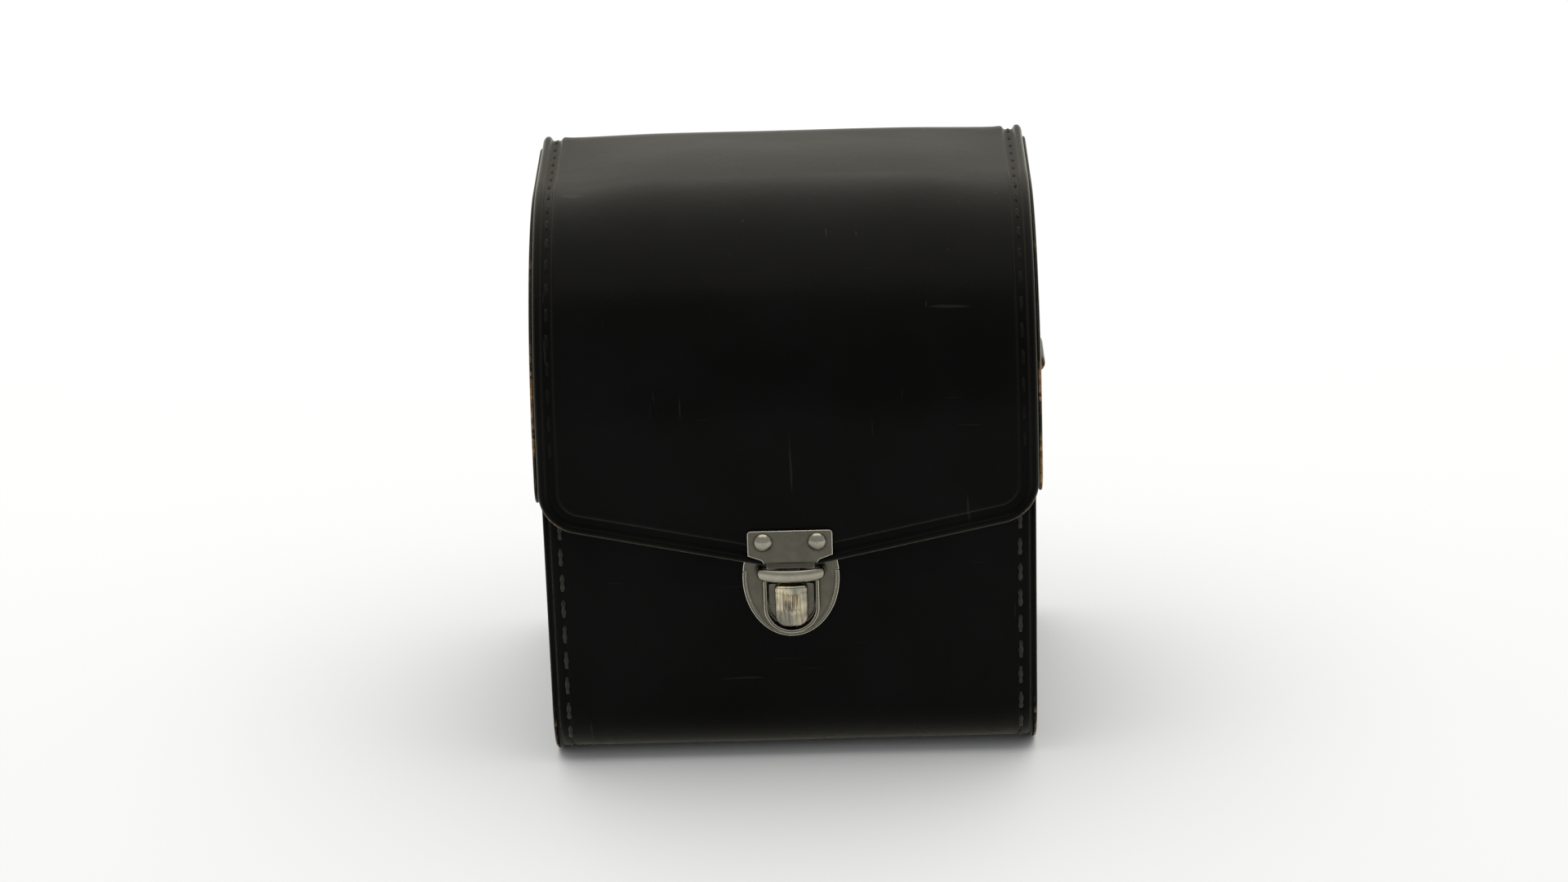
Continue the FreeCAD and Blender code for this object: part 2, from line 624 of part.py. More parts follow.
def add_oval(sketch, across, up):
    """Draw an upright or flat oval about the catch plate's widest line."""
    wide = size(across)
    tall = size(up)
    centre = Vector(0, size("plate_middle"), 0)
    if tall > wide:
        oval = Part.Ellipse(centre + Vector(0, tall, 0), centre + Vector(wide, 0, 0), centre)
    else:
        oval = Part.Ellipse(centre + Vector(wide, 0, 0), centre + Vector(0, tall, 0), centre)
    curve = sketch.addGeometry(oval)
    rise = Vector(0, tall, 0)
    reach = Vector(wide, 0, 0)
    long_line = sketch.addGeometry(Part.LineSegment(centre - rise, centre + rise), True)
    short_line = sketch.addGeometry(Part.LineSegment(centre - reach, centre + reach), True)
    kinds = ("InternalAlignment:EllipseMajorDiameter", "InternalAlignment:EllipseMinorDiameter")
    if tall <= wide:
        kinds = kinds[::-1]
    sketch.addConstraint(Sketcher.Constraint(kinds[0], long_line, curve))
    sketch.addConstraint(Sketcher.Constraint(kinds[1], short_line, curve))
    pin_point(sketch, long_line, 1, "0", "plate_middle - (%s)" % up)
    pin_point(sketch, curve, 3, "0", "plate_middle")
    index = sketch.addConstraint(Sketcher.Constraint("DistanceX", curve, 3, short_line, 2, wide))
    sketch.setExpression("Constraints[%d]" % index, "(%s) * 1mm" % full(across))
    return sketch


def make_catch_housing():
    """U-shaped guide that the thumb slide runs in."""
    body = new_body("catch_housing")
    half = "housing_width / 2"
    inner = "guide_half"
    outer = new_sketch(body, "XZ_Plane", "-plate_face + bond_gap")
    add_outline(outer, [
        ("-" + half, "housing_top"),
        ("-" + half, "housing_bottom", half + " - 0.05"),
        (half, "housing_bottom", half + " - 0.05"),
        (half, "housing_top"),
    ])
    add_pad(body, outer, "housing_rise")
    hollow = new_sketch(body, "XZ_Plane", "-plate_face + housing_rise + 1")
    add_outline(hollow, [
        ("-" + inner, "housing_top + 1"),
        ("-" + inner, "housing_bottom + housing_wall", inner + " - 0.05"),
        (inner, "housing_bottom + housing_wall", inner + " - 0.05"),
        (inner, "housing_top + 1"),
    ])
    add_pocket(body, hollow, "housing_rise + 1 - housing_floor")
    return body


def make_keeper_bar():
    """Bowed bar over the mouth of the guide; the tongue is tucked behind it."""
    body = new_body("keeper_bar")
    half = size("keeper_width / 2")
    thick = size("keeper_thickness")
    back = size("plate_face - bond_gap")
    front = back - size("keeper_side")
    bow = size("keeper_bow")
    sketch = new_sketch(body, "XY_Plane", "keeper_bottom")
    radius = (half * half + bow * bow) / (2 * bow)
    outer = Part.Arc(Vector(-half, front, 0), Vector(0, front - bow, 0), Vector(half, front, 0))
    middle = front - bow + radius
    inner_half = half - thick
    inner_front = middle - math.sqrt((radius - thick) ** 2 - inner_half ** 2)
    inner = Part.Arc(Vector(-inner_half, inner_front, 0), Vector(0, front - bow + thick, 0),
                     Vector(inner_half, inner_front, 0))
    for curve in (
        outer,
        Part.LineSegment(Vector(half, front, 0), Vector(half, back, 0)),
        Part.LineSegment(Vector(half, back, 0), Vector(inner_half, back, 0)),
        Part.LineSegment(Vector(inner_half, back, 0), Vector(inner_half, inner_front, 0)),
        inner,
        Part.LineSegment(Vector(-inner_half, inner_front, 0), Vector(-inner_half, back, 0)),
        Part.LineSegment(Vector(-inner_half, back, 0), Vector(-half, back, 0)),
        Part.LineSegment(Vector(-half, back, 0), Vector(-half, front, 0)),
    ):
        sketch.addGeometry(curve)
    add_pad(body, sketch, "keeper_height")
    add_fillet(body, "keeper_thickness * 0.45", lambda edge: edge.BoundBox.YMax < front + 0.01
               and near(edge.BoundBox.ZMin, edge.BoundBox.ZMax))
    return body


def make_thumb_slide():
    """Ribbed thumb rest, the stem behind it and its guide plate."""
    body = new_body("thumb_slide")
    side = new_sketch(body, "YZ_Plane")
    add_outline(side, [
        ("slide_back", "button_bottom"),
        ("slide_face + button_toe", "button_bottom", "button_toe * 0.6"),
        ("slide_face", "button_bottom + button_swell", "button_swell * 1.5"),
        ("slide_face", "button_top - button_lip", "button_lip * 1.5"),
        ("slide_back", "button_top"),
    ])
    add_pad(body, side, "button_width", both=True)
    add_fillet(body, "button_round", lambda edge: near(abs(edge.BoundBox.XMin), size("button_width / 2"))
               and near(edge.BoundBox.XMin, edge.BoundBox.XMax)
               and edge.BoundBox.YMin < size("housing_face") - 1)
    stem = new_sketch(body, "XZ_Plane", "-slide_back + button_depth / 6")
    add_outline(stem, [
        ("-stem_half", "stem_bottom"),
        ("stem_half", "stem_bottom"),
        ("stem_half", "slide_top"),
        ("-stem_half", "slide_top"),
    ])
    add_pad(body, stem, "guide_floor - slide_fit - slide_back + button_depth / 6", back=True)
    plate = new_sketch(body, "XZ_Plane", "-guide_floor + slide_fit")
    add_outline(plate, [
        ("-guide_half + slide_fit", "stem_bottom + 1"),
        ("guide_half - slide_fit", "stem_bottom + 1"),
        ("guide_half - slide_fit", "slide_top"),
        ("-guide_half + slide_fit", "slide_top"),
    ])
    add_pad(body, plate, "guide_plate_thickness")
    ribs = new_sketch(body, "XY_Plane", "button_bottom + button_swell + button_lip")
    for place in range(-2, 3):
        add_circle(ribs, "%d * rib_pitch" % place, "slide_face + bond_gap", "rib_radius")
    add_pad(body, ribs, "rib_length")
    return body


def make_slide_spring():
    body = new_body("slide_spring")
    sketch = new_sketch(body, "XZ_Plane", "-spring_axis")
    add_circle(sketch, "spring_radius", "spring_bottom", "spring_wire / 2")
    helix = body.newObject("PartDesign::AdditiveHelix", "spring_turns")
    helix.Profile = sketch
    helix.ReferenceAxis = (sketch, ["V_Axis"])
    helix.Mode = 1
    turns = 5
    bind(helix, "Height", "spring_height")
    helix.Turns = turns
    bind(helix, "Pitch", "spring_height / %d" % turns)
    return body


def make_catch_backing():
    """Metal strip inside the front wall that the catch plate's studs are set over."""
    body = new_body("catch_backing")
    sketch = new_sketch(body, "XZ_Plane", "-front_inside - seam_gap - washer_thickness - lining_cloth")
    add_backing_outline(sketch, "plate_width / 4", "plate_middle")
    add_pad(body, sketch, "washer_thickness")
    return body


def add_backing_outline(sketch, across, up):
    """Draw a round-cornered strip over two rivets, with a hole for each."""
    half = "(%s + backing_reach)" % across
    add_outline(sketch, [
        ("-" + half, "%s - backing_reach" % up, "backing_reach / 2"),
        (half, "%s - backing_reach" % up, "backing_reach / 2"),
        (half, "%s + backing_reach" % up, "backing_reach / 2"),
        ("-" + half, "%s + backing_reach" % up, "backing_reach / 2"),
    ])
    for hand in (1, -1):
        add_circle(sketch, "%d * %s" % (hand, across), up, "rivet_shank + rivet_fit")


# Lid

def flap_edge_corners(drop):
    """The flap's V-shaped lower edge, moved up by drop, from left to right."""
    half = "(flap_half - (%s))" % drop
    corner = "corner_height + (%s) / cos(atan(edge_slope)) - edge_slope * (%s)" % (drop, drop)
    return [
        ("-" + half, corner, "flap_corner_radius - (%s)" % drop),
        ("0", "point_height + (%s) / cos(atan(edge_slope))" % drop, "flap_corner_radius"),
        (half, corner, "flap_corner_radius - (%s)" % drop),
    ]


def make_lid_flap():
    """Top and front of the lid in one strip of leather, with its bead and channel."""
    body = new_body("lid_flap")
    outer = lid_corners("0", "point_height - 6", "lid_back_bottom")
    inner = lid_corners("flap_leather", "point_height - 6", "lid_back_bottom")
    sketch = add_outline(new_sketch(body, "YZ_Plane"), strip_corners(outer, inner))
    add_pad(body, sketch, "flap_width", both=True)
    front = "-flap_face + 1"
    below = new_sketch(body, "XZ_Plane", front)
    add_outline(below, [("-flap_width", "case_height - front_dome_radius - 1")]
                + [("-flap_half", "case_height - front_dome_radius - 1")]
                + flap_edge_corners("0")
                + [("flap_half", "case_height - front_dome_radius - 1")]
                + [("flap_width", "case_height - front_dome_radius - 1")]
                + [("flap_width", "point_height - 8"), ("-flap_width", "point_height - 8")])
    add_pocket(body, below, "flap_leather + 2")
    for hand in (1, -1):
        groove = new_sketch(body, "YZ_Plane", "%d * (flap_half - bead_width)" % hand)
        channel_top = lid_corners("-1", "corner_height + flap_corner_radius", "lid_back_bottom + 8")
        channel_floor = lid_corners("channel_depth", "corner_height + flap_corner_radius",
                                    "lid_back_bottom + 8")
        add_outline(groove, strip_corners(channel_top, channel_floor))
        add_pocket(body, groove, "channel_width", back=hand < 0)
    band = new_sketch(body, "XZ_Plane", front)
    rise = "corner_height + flap_corner_radius"
    add_outline(band, [("-(flap_half - bead_width)", rise)]
                + flap_edge_corners("bead_width")
                + [("flap_half - bead_width", rise)]
                + [("flap_half - bead_width - channel_width", rise)]
                + flap_edge_corners("bead_width + channel_width")[::-1]
                + [("-(flap_half - bead_width - channel_width)", rise)])
    add_pocket(body, band, "channel_depth + 1")
    notch = new_sketch(body, "XZ_Plane", front)
    add_outline(notch, [
        ("-tongue_width / 2 - 0.8", "point_height - 4"),
        ("tongue_width / 2 + 0.8", "point_height - 4"),
        ("tongue_width / 2 + 0.8", "tongue_bend_height + 1"),
        ("-tongue_width / 2 - 0.8", "tongue_bend_height + 1"),
    ])
    add_pocket(body, notch, "flap_leather + 2")
    holes = new_sketch(body, "XZ_Plane", front)
    for hand in (1, -1):
        add_circle(holes, "%d * rivet_spacing / 2" % hand, "rivet_height", "rivet_shank + rivet_fit")
    add_pocket(body, holes, "flap_leather + 2")
    return body


def make_lid_side(name, hand):
    body = new_body(name)
    outline = lid_corners("lid_side_inset", "corner_height + lid_side_inset",
                          "lid_back_bottom + lid_side_inset")
    corners = [(outline[0][0], outline[0][1], "6")] + outline[1:3] + [(outline[3][0], outline[3][1], "2")]
    plate = new_sketch(body, "YZ_Plane", "%d * (flap_half + seam_gap)" % hand)
    add_outline(plate, corners)
    add_pad(body, plate, "lid_side_leather", back=hand < 0)
    inset = "flap_leather + seam_gap"
    outer = lid_corners(inset, "corner_height + flap_corner_radius", "lid_back_bottom + 3")
    inner = lid_corners(inset + " + lid_side_leather", "corner_height + flap_corner_radius",
                        "lid_back_bottom + 3")
    flange = new_sketch(body, "YZ_Plane", "%d * (flap_half + seam_gap)" % hand)
    add_outline(flange, strip_corners(outer, inner))
    add_pad(body, flange, "flange_width", back=hand > 0)
    far = size("%d * lid_half" % hand)
    add_fillet(body, "lid_side_round", lambda edge: near(edge.BoundBox.XMin, far)
               and near(edge.BoundBox.XMax, far))
    return body


def make_lid_lining():
    body = new_body("lid_lining")
    edge = "hasp_top + lid_lining_rise"
    outer = lid_corners("flap_leather + seam_gap", edge, "lid_back_bottom + 1")
    inner = lid_corners("flap_leather + seam_gap + lining_cloth", edge, "lid_back_bottom + 1")
    sketch = add_outline(new_sketch(body, "YZ_Plane"), strip_corners(outer, inner))
    add_pad(body, sketch, "(flap_half - flange_width - seam_gap * 3) * 2", both=True)
    return body


def make_lid_side_lining(name, hand):
    body = new_body(name)
    inset = "flap_leather + lid_side_leather + seam_gap * 2"
    outline = lid_corners(inset, "front_height + 3", "lid_back_bottom + 4")
    sketch = new_sketch(body, "YZ_Plane", "%d * (flap_half + seam_gap / 2)" % hand)
    add_outline(sketch, outline)
    add_pad(body, sketch, "lining_cloth", back=hand > 0)
    return body


def make_hasp_plate():
    """Plate on the flap with the tongue that bends in behind the bar."""
    body = new_body("hasp_plate")
    side = new_sketch(body, "YZ_Plane")
    add_outline(side, [
        ("hasp_face", "hasp_top"),
        ("hasp_face", "tongue_bend_height", "1.6"),
        ("tongue_face", "tongue_bend_height - tongue_step", "1.2"),
        ("tongue_face", "tongue_tip"),
        ("tongue_face + hasp_thickness", "tongue_tip"),
        ("tongue_face + hasp_thickness", "tongue_bend_height - tongue_step + hasp_thickness / 2", "0.9"),
        ("hasp_face + hasp_thickness", "tongue_bend_height + hasp_thickness / 2", "0.9"),
        ("hasp_face + hasp_thickness", "hasp_top"),
    ])
    add_pad(body, side, "hasp_width", both=True)
    half = "hasp_width / 2"
    neck = "tongue_width / 2"
    for hand in (1, -1):
        cut = new_sketch(body, "XZ_Plane", "-hasp_face + 1")
        add_outline(cut, [
            ("%d * (%s + 5)" % (hand, half), "hasp_shoulder"),
            ("%d * %s" % (hand, half), "hasp_shoulder", "1"),
            ("%d * (%s + 0.8)" % (hand, neck), "hasp_shoulder - 1.2", "1"),
            ("%d * %s" % (hand, neck), "hasp_shoulder - 2.8", "0.8"),
            ("%d * %s" % (hand, neck), "tongue_tip", "tongue_width / 2 - 0.6"),
            ("0", "tongue_tip"),
            ("0", "tongue_tip - 2"),
            ("%d * (%s + 5)" % (hand, half), "tongue_tip - 2"),
        ])
        add_pocket(body, cut, "hasp_thickness + tongue_step + 2")
    window = new_sketch(body, "XZ_Plane", "-hasp_face + 1")
    add_outline(window, [
        ("-window_half", "tooth_height - window_height / 2"),
        ("window_half", "tooth_height - window_height / 2"),
        ("window_half", "tooth_height + window_height / 2"),
        ("-window_half", "tooth_height + window_height / 2"),
    ])
    add_pocket(body, window, "hasp_thickness + tongue_step + 2")
    holes = new_sketch(body, "XZ_Plane", "-hasp_face + 1")
    for hand in (1, -1):
        add_circle(holes, "%d * rivet_spacing / 2" % hand, "rivet_height", "rivet_shank + rivet_fit")
    add_pocket(body, holes, "hasp_thickness + 2")
    add_fillet(body, "hasp_round", lambda edge: near(edge.BoundBox.ZMin, size("hasp_top"))
               and near(edge.BoundBox.ZMax, size("hasp_top"))
               and near(edge.BoundBox.XMin, edge.BoundBox.XMax))
    return body


def make_latch_leaf():
    """Spring leaf behind the slide; its tooth stands in the tongue's window."""
    body = new_body("latch_leaf")
    side = new_sketch(body, "YZ_Plane")
    skin = "guide_floor - spring_wire"
    add_outline(side, [
        ("guide_floor - slide_play", "tongue_tip"),
        (skin, "tongue_tip"),
        (skin, "tooth_height"),
        ("tongue_face + hasp_thickness * 0.7", "tooth_height"),
        (skin, "tooth_height + window_height / 2"),
        ("guide_floor - slide_play", "tooth_height + window_height / 2"),
    ])
    add_pad(body, side, "tooth_width", both=True)
    return body


def make_hasp_backing():
    body = new_body("hasp_backing")
    sketch = new_sketch(body, "XZ_Plane", "-flap_inside - seam_gap / 2 - washer_thickness")
    add_backing_outline(sketch, "rivet_spacing / 2", "rivet_height")
    add_pad(body, sketch, "washer_thickness")
    return body


# Hinge

def make_hinge_strip_body():
    """Lower half of the hinge leather, with the rolled fold on the hinge axis."""
    body = new_body("hinge_strip_lower")
    sketch = new_sketch(body, "YZ_Plane")
    add_outline(sketch, [
        ("back_face + bond_gap", "hinge_height - hinge_strip_reach"),
        ("back_face + hinge_leather", "hinge_height - hinge_strip_reach", "0.5"),
        ("back_face + hinge_leather", "hinge_height"),
        ("back_face + bond_gap", "hinge_height"),
    ])
    add_pad(body, sketch, "hinge_strip_width", both=True)
    fold = add_circle(new_sketch(body, "YZ_Plane"), "hinge_axis_y", "hinge_height", "fold_radius")
    add_pad(body, fold, "hinge_strip_width", both=True)
    return body


def make_hinge_strip_lid():
    body = new_body("hinge_strip_upper")
    sketch = new_sketch(body, "YZ_Plane")
    start = "hinge_height + fold_radius + fold_clearance"
    add_outline(sketch, [
        ("back_face + bond_gap", start),
        ("back_face + hinge_leather", start, "0.4"),
        ("back_face + hinge_leather", "hinge_height + hinge_strip_reach", "0.5"),
        ("back_face + bond_gap", "hinge_height + hinge_strip_reach"),
    ])
    add_pad(body, sketch, "hinge_strip_width", both=True)
    return body


# Strap tabs and rings, drawn on the side panel's outer face

def make_strap_tab(name, hand):
    """Folded leather tab: two layers below, a loop round the ring's bar above."""
    body = new_body(name)
    sketch = new_sketch(body, "XZ_Plane", "-tab_place - tab_width / 2")
    skin = "%d * bond_gap" % hand
    outer = "%d * (tab_leather * 2 + bond_gap)" % hand
    bottom = "tab_rivet_height - tab_end"
    add_outline(sketch, [
        (skin, bottom),
        (outer, bottom, "0.6"),
        (outer, "tab_loop_height - tab_loop_radius + 1"),
        (skin, "tab_loop_height - tab_loop_radius + 1"),
    ])
    add_pad(body, sketch, "tab_width")
    loop = new_sketch(body, "XZ_Plane", "-tab_place - tab_width / 2")
    add_circle(loop, "%d * tab_loop_out" % hand, "tab_loop_height", "tab_loop_radius")
    add_pad(body, loop, "tab_width")
    bore = new_sketch(body, "XZ_Plane", "-tab_place - tab_width")
    add_circle(bore, "%d * tab_loop_out" % hand, "tab_loop_height", "ring_wire / 2 + ring_fit")
    add_pocket(body, bore, "tab_width * 2", back=True)
    add_tab_hole(body, hand)
    panel_frame(body, hand)
    return body


def make_strap_ring(name, hand):
    """D-shaped wire ring, hanging."""
    body = new_body(name)
    path = new_sketch(body, "YZ_Plane", "%d * tab_loop_out" % hand)
    half = "(ring_bar + ring_wire) / 2"
    add_outline(path, [
        ("tab_place - " + half, "tab_loop_height", "2"),
        ("tab_place + " + half, "tab_loop_height", "2"),
        ("tab_place + " + half, "tab_loop_height - ring_drop", "%s - 0.6" % half),
        ("tab_place - " + half, "tab_loop_height - ring_drop", "%s - 0.6" % half),
    ])
    wire = new_sketch(body, "XZ_Plane", "-tab_place")
    add_circle(wire, "%d * tab_loop_out" % hand, "tab_loop_height", "ring_wire / 2")
    pipe = body.newObject("PartDesign::AdditivePipe", name + "_wire")
    pipe.Profile = wire
    pipe.Spine = path
    panel_frame(body, hand)
    return body


# Rivets and stitches are groups of like solids

def turned_rivet(head, dome, shank, length):
    """Domed rivet: its head starts at the origin and its shank runs along +Z."""
    crown = (head * head + dome * dome) / (2 * dome)
    lean = math.asin(head / crown) / 2
    closed = size("rivet_set")
    tail = size("rivet_tail")
    ball = Vector(0, 0, crown - dome)
    rim = Vector(head, 0, 0)
    over = ball + Vector(crown * math.sin(lean), 0, -crown * math.cos(lean))
    top = Vector(0, 0, -dome)
    points = [rim, Vector(shank, 0, 0), Vector(shank, 0, length), Vector(tail, 0, length),
              Vector(tail, 0, length + closed), Vector(0, 0, length + closed), top]
    edges = [Part.makeLine(a, b) for a, b in zip(points[:-1], points[1:])]
    edges.append(Part.Arc(top, over, rim).toShape())
    face = Part.Face(Part.Wire(edges))
    return face.revolve(Vector(0, 0, 0), Vector(0, 0, 1), 360)


def new_group(label, shapes, placement=None):
    group = doc.addObject("Part::Feature", label)
    group.Label = label
    group.Shape = Part.makeCompound(shapes)
    if placement:
        group.Placement = placement
    return group


def make_hasp_rivets():
    length = size("hasp_thickness + flap_leather + seam_gap + washer_thickness")
    rivets = []
    for hand in (1, -1):
        rivet = turned_rivet(size("rivet_head"), size("rivet_dome"), size("rivet_shank"), length)
        rivet.rotate(Vector(0, 0, 0), Vector(1, 0, 0), -90)
        rivet.translate(Vector(hand * size("rivet_spacing / 2"), size("hasp_face"), size("rivet_height")))
        rivets.append(rivet)
    return new_group("hasp_rivets", rivets)


def side_placement(hand):
    """Placement of a piece that is drawn on the leaning side panel."""
    turn = FreeCAD.Rotation(Vector(0, 1, 0), hand * size("side_lean"))
    return FreeCAD.Placement(Vector(hand * size("base_half"), 0, 0), turn)


def make_tab_rivet(name, hand):
    rivet = turned_rivet(size("tab_rivet_head"), size("tab_rivet_dome"), size("rivet_shank"),
                         size("tab_rivet_length"))
    rivet.rotate(Vector(0, 0, 0), Vector(0, 1, 0), -90 * hand)
    out = size("tab_leather * 2 + bond_gap * 2")
    rivet.translate(Vector(hand * out, size("tab_place"), size("tab_rivet_height")))
    return new_group(name, [rivet], side_placement(hand))


def make_tab_washer(name, hand):
    hole = size("rivet_shank + rivet_fit")
    thick = size("washer_thickness")
    washer = Part.makeCylinder(size("tab_washer_radius"), thick).cut(Part.makeCylinder(hole, thick))
    washer.rotate(Vector(0, 0, 0), Vector(0, 1, 0), -90 * hand)
    inner = size("side_leather + lining_cloth + seam_gap")
    washer.translate(Vector(-hand * inner, size("tab_place"), size("tab_rivet_height")))
    return new_group(name, [washer], side_placement(hand))


def point_along(edges, distance):
    """Give the point and the direction at a distance along a chain of edges."""
    for edge in edges:
        if distance <= edge.Length:
            place = edge.getParameterByLength(distance)
            return edge.valueAt(place), edge.tangentAt(place)
        distance -= edge.Length
    last = edges[-1]
    return last.valueAt(last.LastParameter), last.tangentAt(last.LastParameter)


def side_path(corners):
    """Turn (Y, Z, radius) corners into a chain of lines and arcs in the YZ plane."""
    spots = [Vector(0, size(corner[0]), size(corner[1])) for corner in corners]
    edges = []
    start = spots[0]
    for i in range(1, len(spots) - 1):
        radius = size(corners[i][2])
        back = (spots[i - 1] - spots[i]).normalize()
        ahead = (spots[i + 1] - spots[i]).normalize()
        half = back.getAngle(ahead) / 2
        arrive = spots[i] + back * (radius / math.tan(half))
        leave = spots[i] + ahead * (radius / math.tan(half))
        bisector = (back + ahead).normalize()
        middle = spots[i] + bisector * (radius / math.sin(half) - radius)
        edges.append(Part.makeLine(start, arrive))
        edges.append(Part.Arc(arrive, middle, leave).toShape())
        start = leave
    edges.append(Part.makeLine(start, spots[-1]))
    return edges


def stitch_between(start, end, radius):
    """One stitch: a piece of round thread with rounded ends."""
    run = end - start
    away = radius * math.sqrt(0.5)
    low = Vector(0, 0, -radius)
    side = Vector(radius, 0, 0)
    far_side = Vector(radius, 0, run.Length)
    high = Vector(0, 0, run.Length + radius)
    edges = [
        Part.Arc(low, Vector(away, 0, -away), side).toShape(),
        Part.makeLine(side, far_side),
        Part.Arc(far_side, Vector(away, 0, run.Length + away), high).toShape(),
        Part.makeLine(high, low),
    ]
    thread = Part.Face(Part.Wire(edges)).revolve(Vector(0, 0, 0), Vector(0, 0, 1), 360)
    thread.Placement = FreeCAD.Placement(start, FreeCAD.Rotation(Vector(0, 0, 1), run))
    return thread


def seam_stitches(edges, across):
    """A row of stitches along a chain of edges; across gives X at a height."""
    pitch = size("stitch_pitch")
    reach = size("stitch_length - thread_size")
    radius = size("thread_size / 2")
    total = sum(edge.Length for edge in edges)
    count = int((total - pitch) / pitch)
    first = (total - count * pitch) / 2
    stitches = []
    for i in range(count):
        middle = first + (i + 0.5) * pitch
        ends = []
        for place in (middle - reach / 2, middle + reach / 2):
            spot, heading = point_along(edges, place)
            spot.x = across(spot.z)
            ends.append(spot)
        stitches.append(stitch_between(ends[0], ends[1], radius))
    return stitches


def make_body_stitching(name, hand):
    lift = size("thread_size / 2 + bond_gap")
    arch = size("stitch_length - thread_size") ** 2 / (8 * size("bottom_radius"))
    away = "-(%f)" % (lift + arch)
    corners = wrap_corners(away, "front_height - stitch_inset", "body_back_top - stitch_inset",
                           "rim_drop + " + away, "bottom_radius - " + away)
    base = size("seam_half")
    rise = size("lean_rise")
    stitches = seam_stitches(side_path(corners), lambda height: hand * (base + rise * height))
    return new_group(name, stitches)


def make_lid_stitching(name, hand):
    lift = size("thread_size / 2 - channel_depth + bond_gap")
    arch = size("stitch_length - thread_size") ** 2 / (8 * size("back_dome_radius"))
    away = "-(%f)" % (lift + arch)
    corners = lid_corners(away, "corner_height + flap_corner_radius + 1", "lid_back_bottom + 9")
    place = hand * size("flap_half - bead_width - channel_width / 2")
    return new_group(name, seam_stitches(side_path(corners), lambda height: place))


HANDS = (("left", -1), ("right", 1))

parts = [
    make_body_wrap(),
    make_wrap_lining(),
    make_sole_board(),
    make_screw_plate(),
    make_retaining_screw(),
    make_screw_clip(),
    make_catch_plate(),
    make_catch_housing(),
    make_keeper_bar(),
    make_thumb_slide(),
    make_slide_spring(),
    make_latch_leaf(),
    make_catch_backing(),
    make_lid_flap(),
    make_lid_lining(),
    make_hasp_plate(),
    make_hasp_rivets(),
    make_hasp_backing(),
    make_hinge_strip_body(),
    make_hinge_strip_lid(),
]
for side, hand in HANDS:
    parts += [
        make_side_panel("side_panel_" + side, hand),
        make_side_lining("side_lining_" + side, hand),
        make_body_stitching("body_stitching_" + side, hand),
        make_strap_tab("strap_tab_" + side, hand),
        make_strap_ring("strap_ring_" + side, hand),
        make_tab_rivet("tab_rivet_" + side, hand),
        make_tab_washer("tab_washer_" + side, hand),
        make_lid_side("lid_side_" + side, hand),
        make_lid_side_lining("lid_side_lining_" + side, hand),
        make_lid_stitching("lid_stitching_" + side, hand),
    ]

doc.recompute()
for item in doc.Objects:
    if "Invalid" in item.State or "Error" in item.State:
        raise RuntimeError("%s: %s" % (item.Label, item.State))
for part in parts:
    if part.Shape.isNull() or not part.Shape.isValid() or not part.Shape.Solids:
        raise RuntimeError("%s: its shape is missing or not valid" % part.Label)

os.makedirs("parts", exist_ok=True)
for part in parts:
    part.Shape.exportStep("parts/%s.step" % part.Label)
print("%d pieces written" % len(parts))
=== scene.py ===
import math

import bpy
import numpy as np
from mathutils import Matrix, Vector


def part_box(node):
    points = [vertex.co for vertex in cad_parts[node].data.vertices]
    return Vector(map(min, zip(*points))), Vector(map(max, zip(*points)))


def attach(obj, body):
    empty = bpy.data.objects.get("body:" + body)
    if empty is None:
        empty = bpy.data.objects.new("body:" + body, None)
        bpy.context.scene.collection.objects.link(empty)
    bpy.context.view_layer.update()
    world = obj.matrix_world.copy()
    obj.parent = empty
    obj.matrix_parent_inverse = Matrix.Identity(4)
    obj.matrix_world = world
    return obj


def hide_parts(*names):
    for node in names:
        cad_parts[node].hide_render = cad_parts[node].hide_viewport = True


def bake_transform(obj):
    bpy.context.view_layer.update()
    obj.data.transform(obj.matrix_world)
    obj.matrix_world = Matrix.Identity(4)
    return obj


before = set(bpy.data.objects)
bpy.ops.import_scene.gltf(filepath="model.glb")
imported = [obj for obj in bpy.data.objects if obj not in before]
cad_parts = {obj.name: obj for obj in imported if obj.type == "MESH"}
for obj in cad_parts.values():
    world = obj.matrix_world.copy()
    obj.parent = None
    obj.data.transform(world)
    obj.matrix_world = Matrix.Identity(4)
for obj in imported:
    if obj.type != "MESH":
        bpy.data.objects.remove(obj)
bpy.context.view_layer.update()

# Stiff leather camera case: leather, thread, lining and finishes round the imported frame.
# Metres. X runs across the front, Y from the front to the back, Z up.

bl_info = {
    "name": "Camera case",
    "version": (1, 0, 0),
    "blender": (4, 5, 0),
    "location": "3D View > Sidebar > Camera case",
    "description": "Leather, thread, lining and metal finishes of a stiff camera case",
    "category": "Add Mesh",
}

MM = 0.001
BODY = "case_body"
LID = "lid"
HANDS = (("left", -1), ("right", 1))


# What a user would change

def length(name, default, description):
    return bpy.props.FloatProperty(name=name, default=default * MM, unit="LENGTH", precision=5,
                                   description=description)


def colour(name, default, description):
    return bpy.props.FloatVectorProperty(name=name, default=default, subtype="COLOR", size=3,
                                         min=0, max=1, description=description)


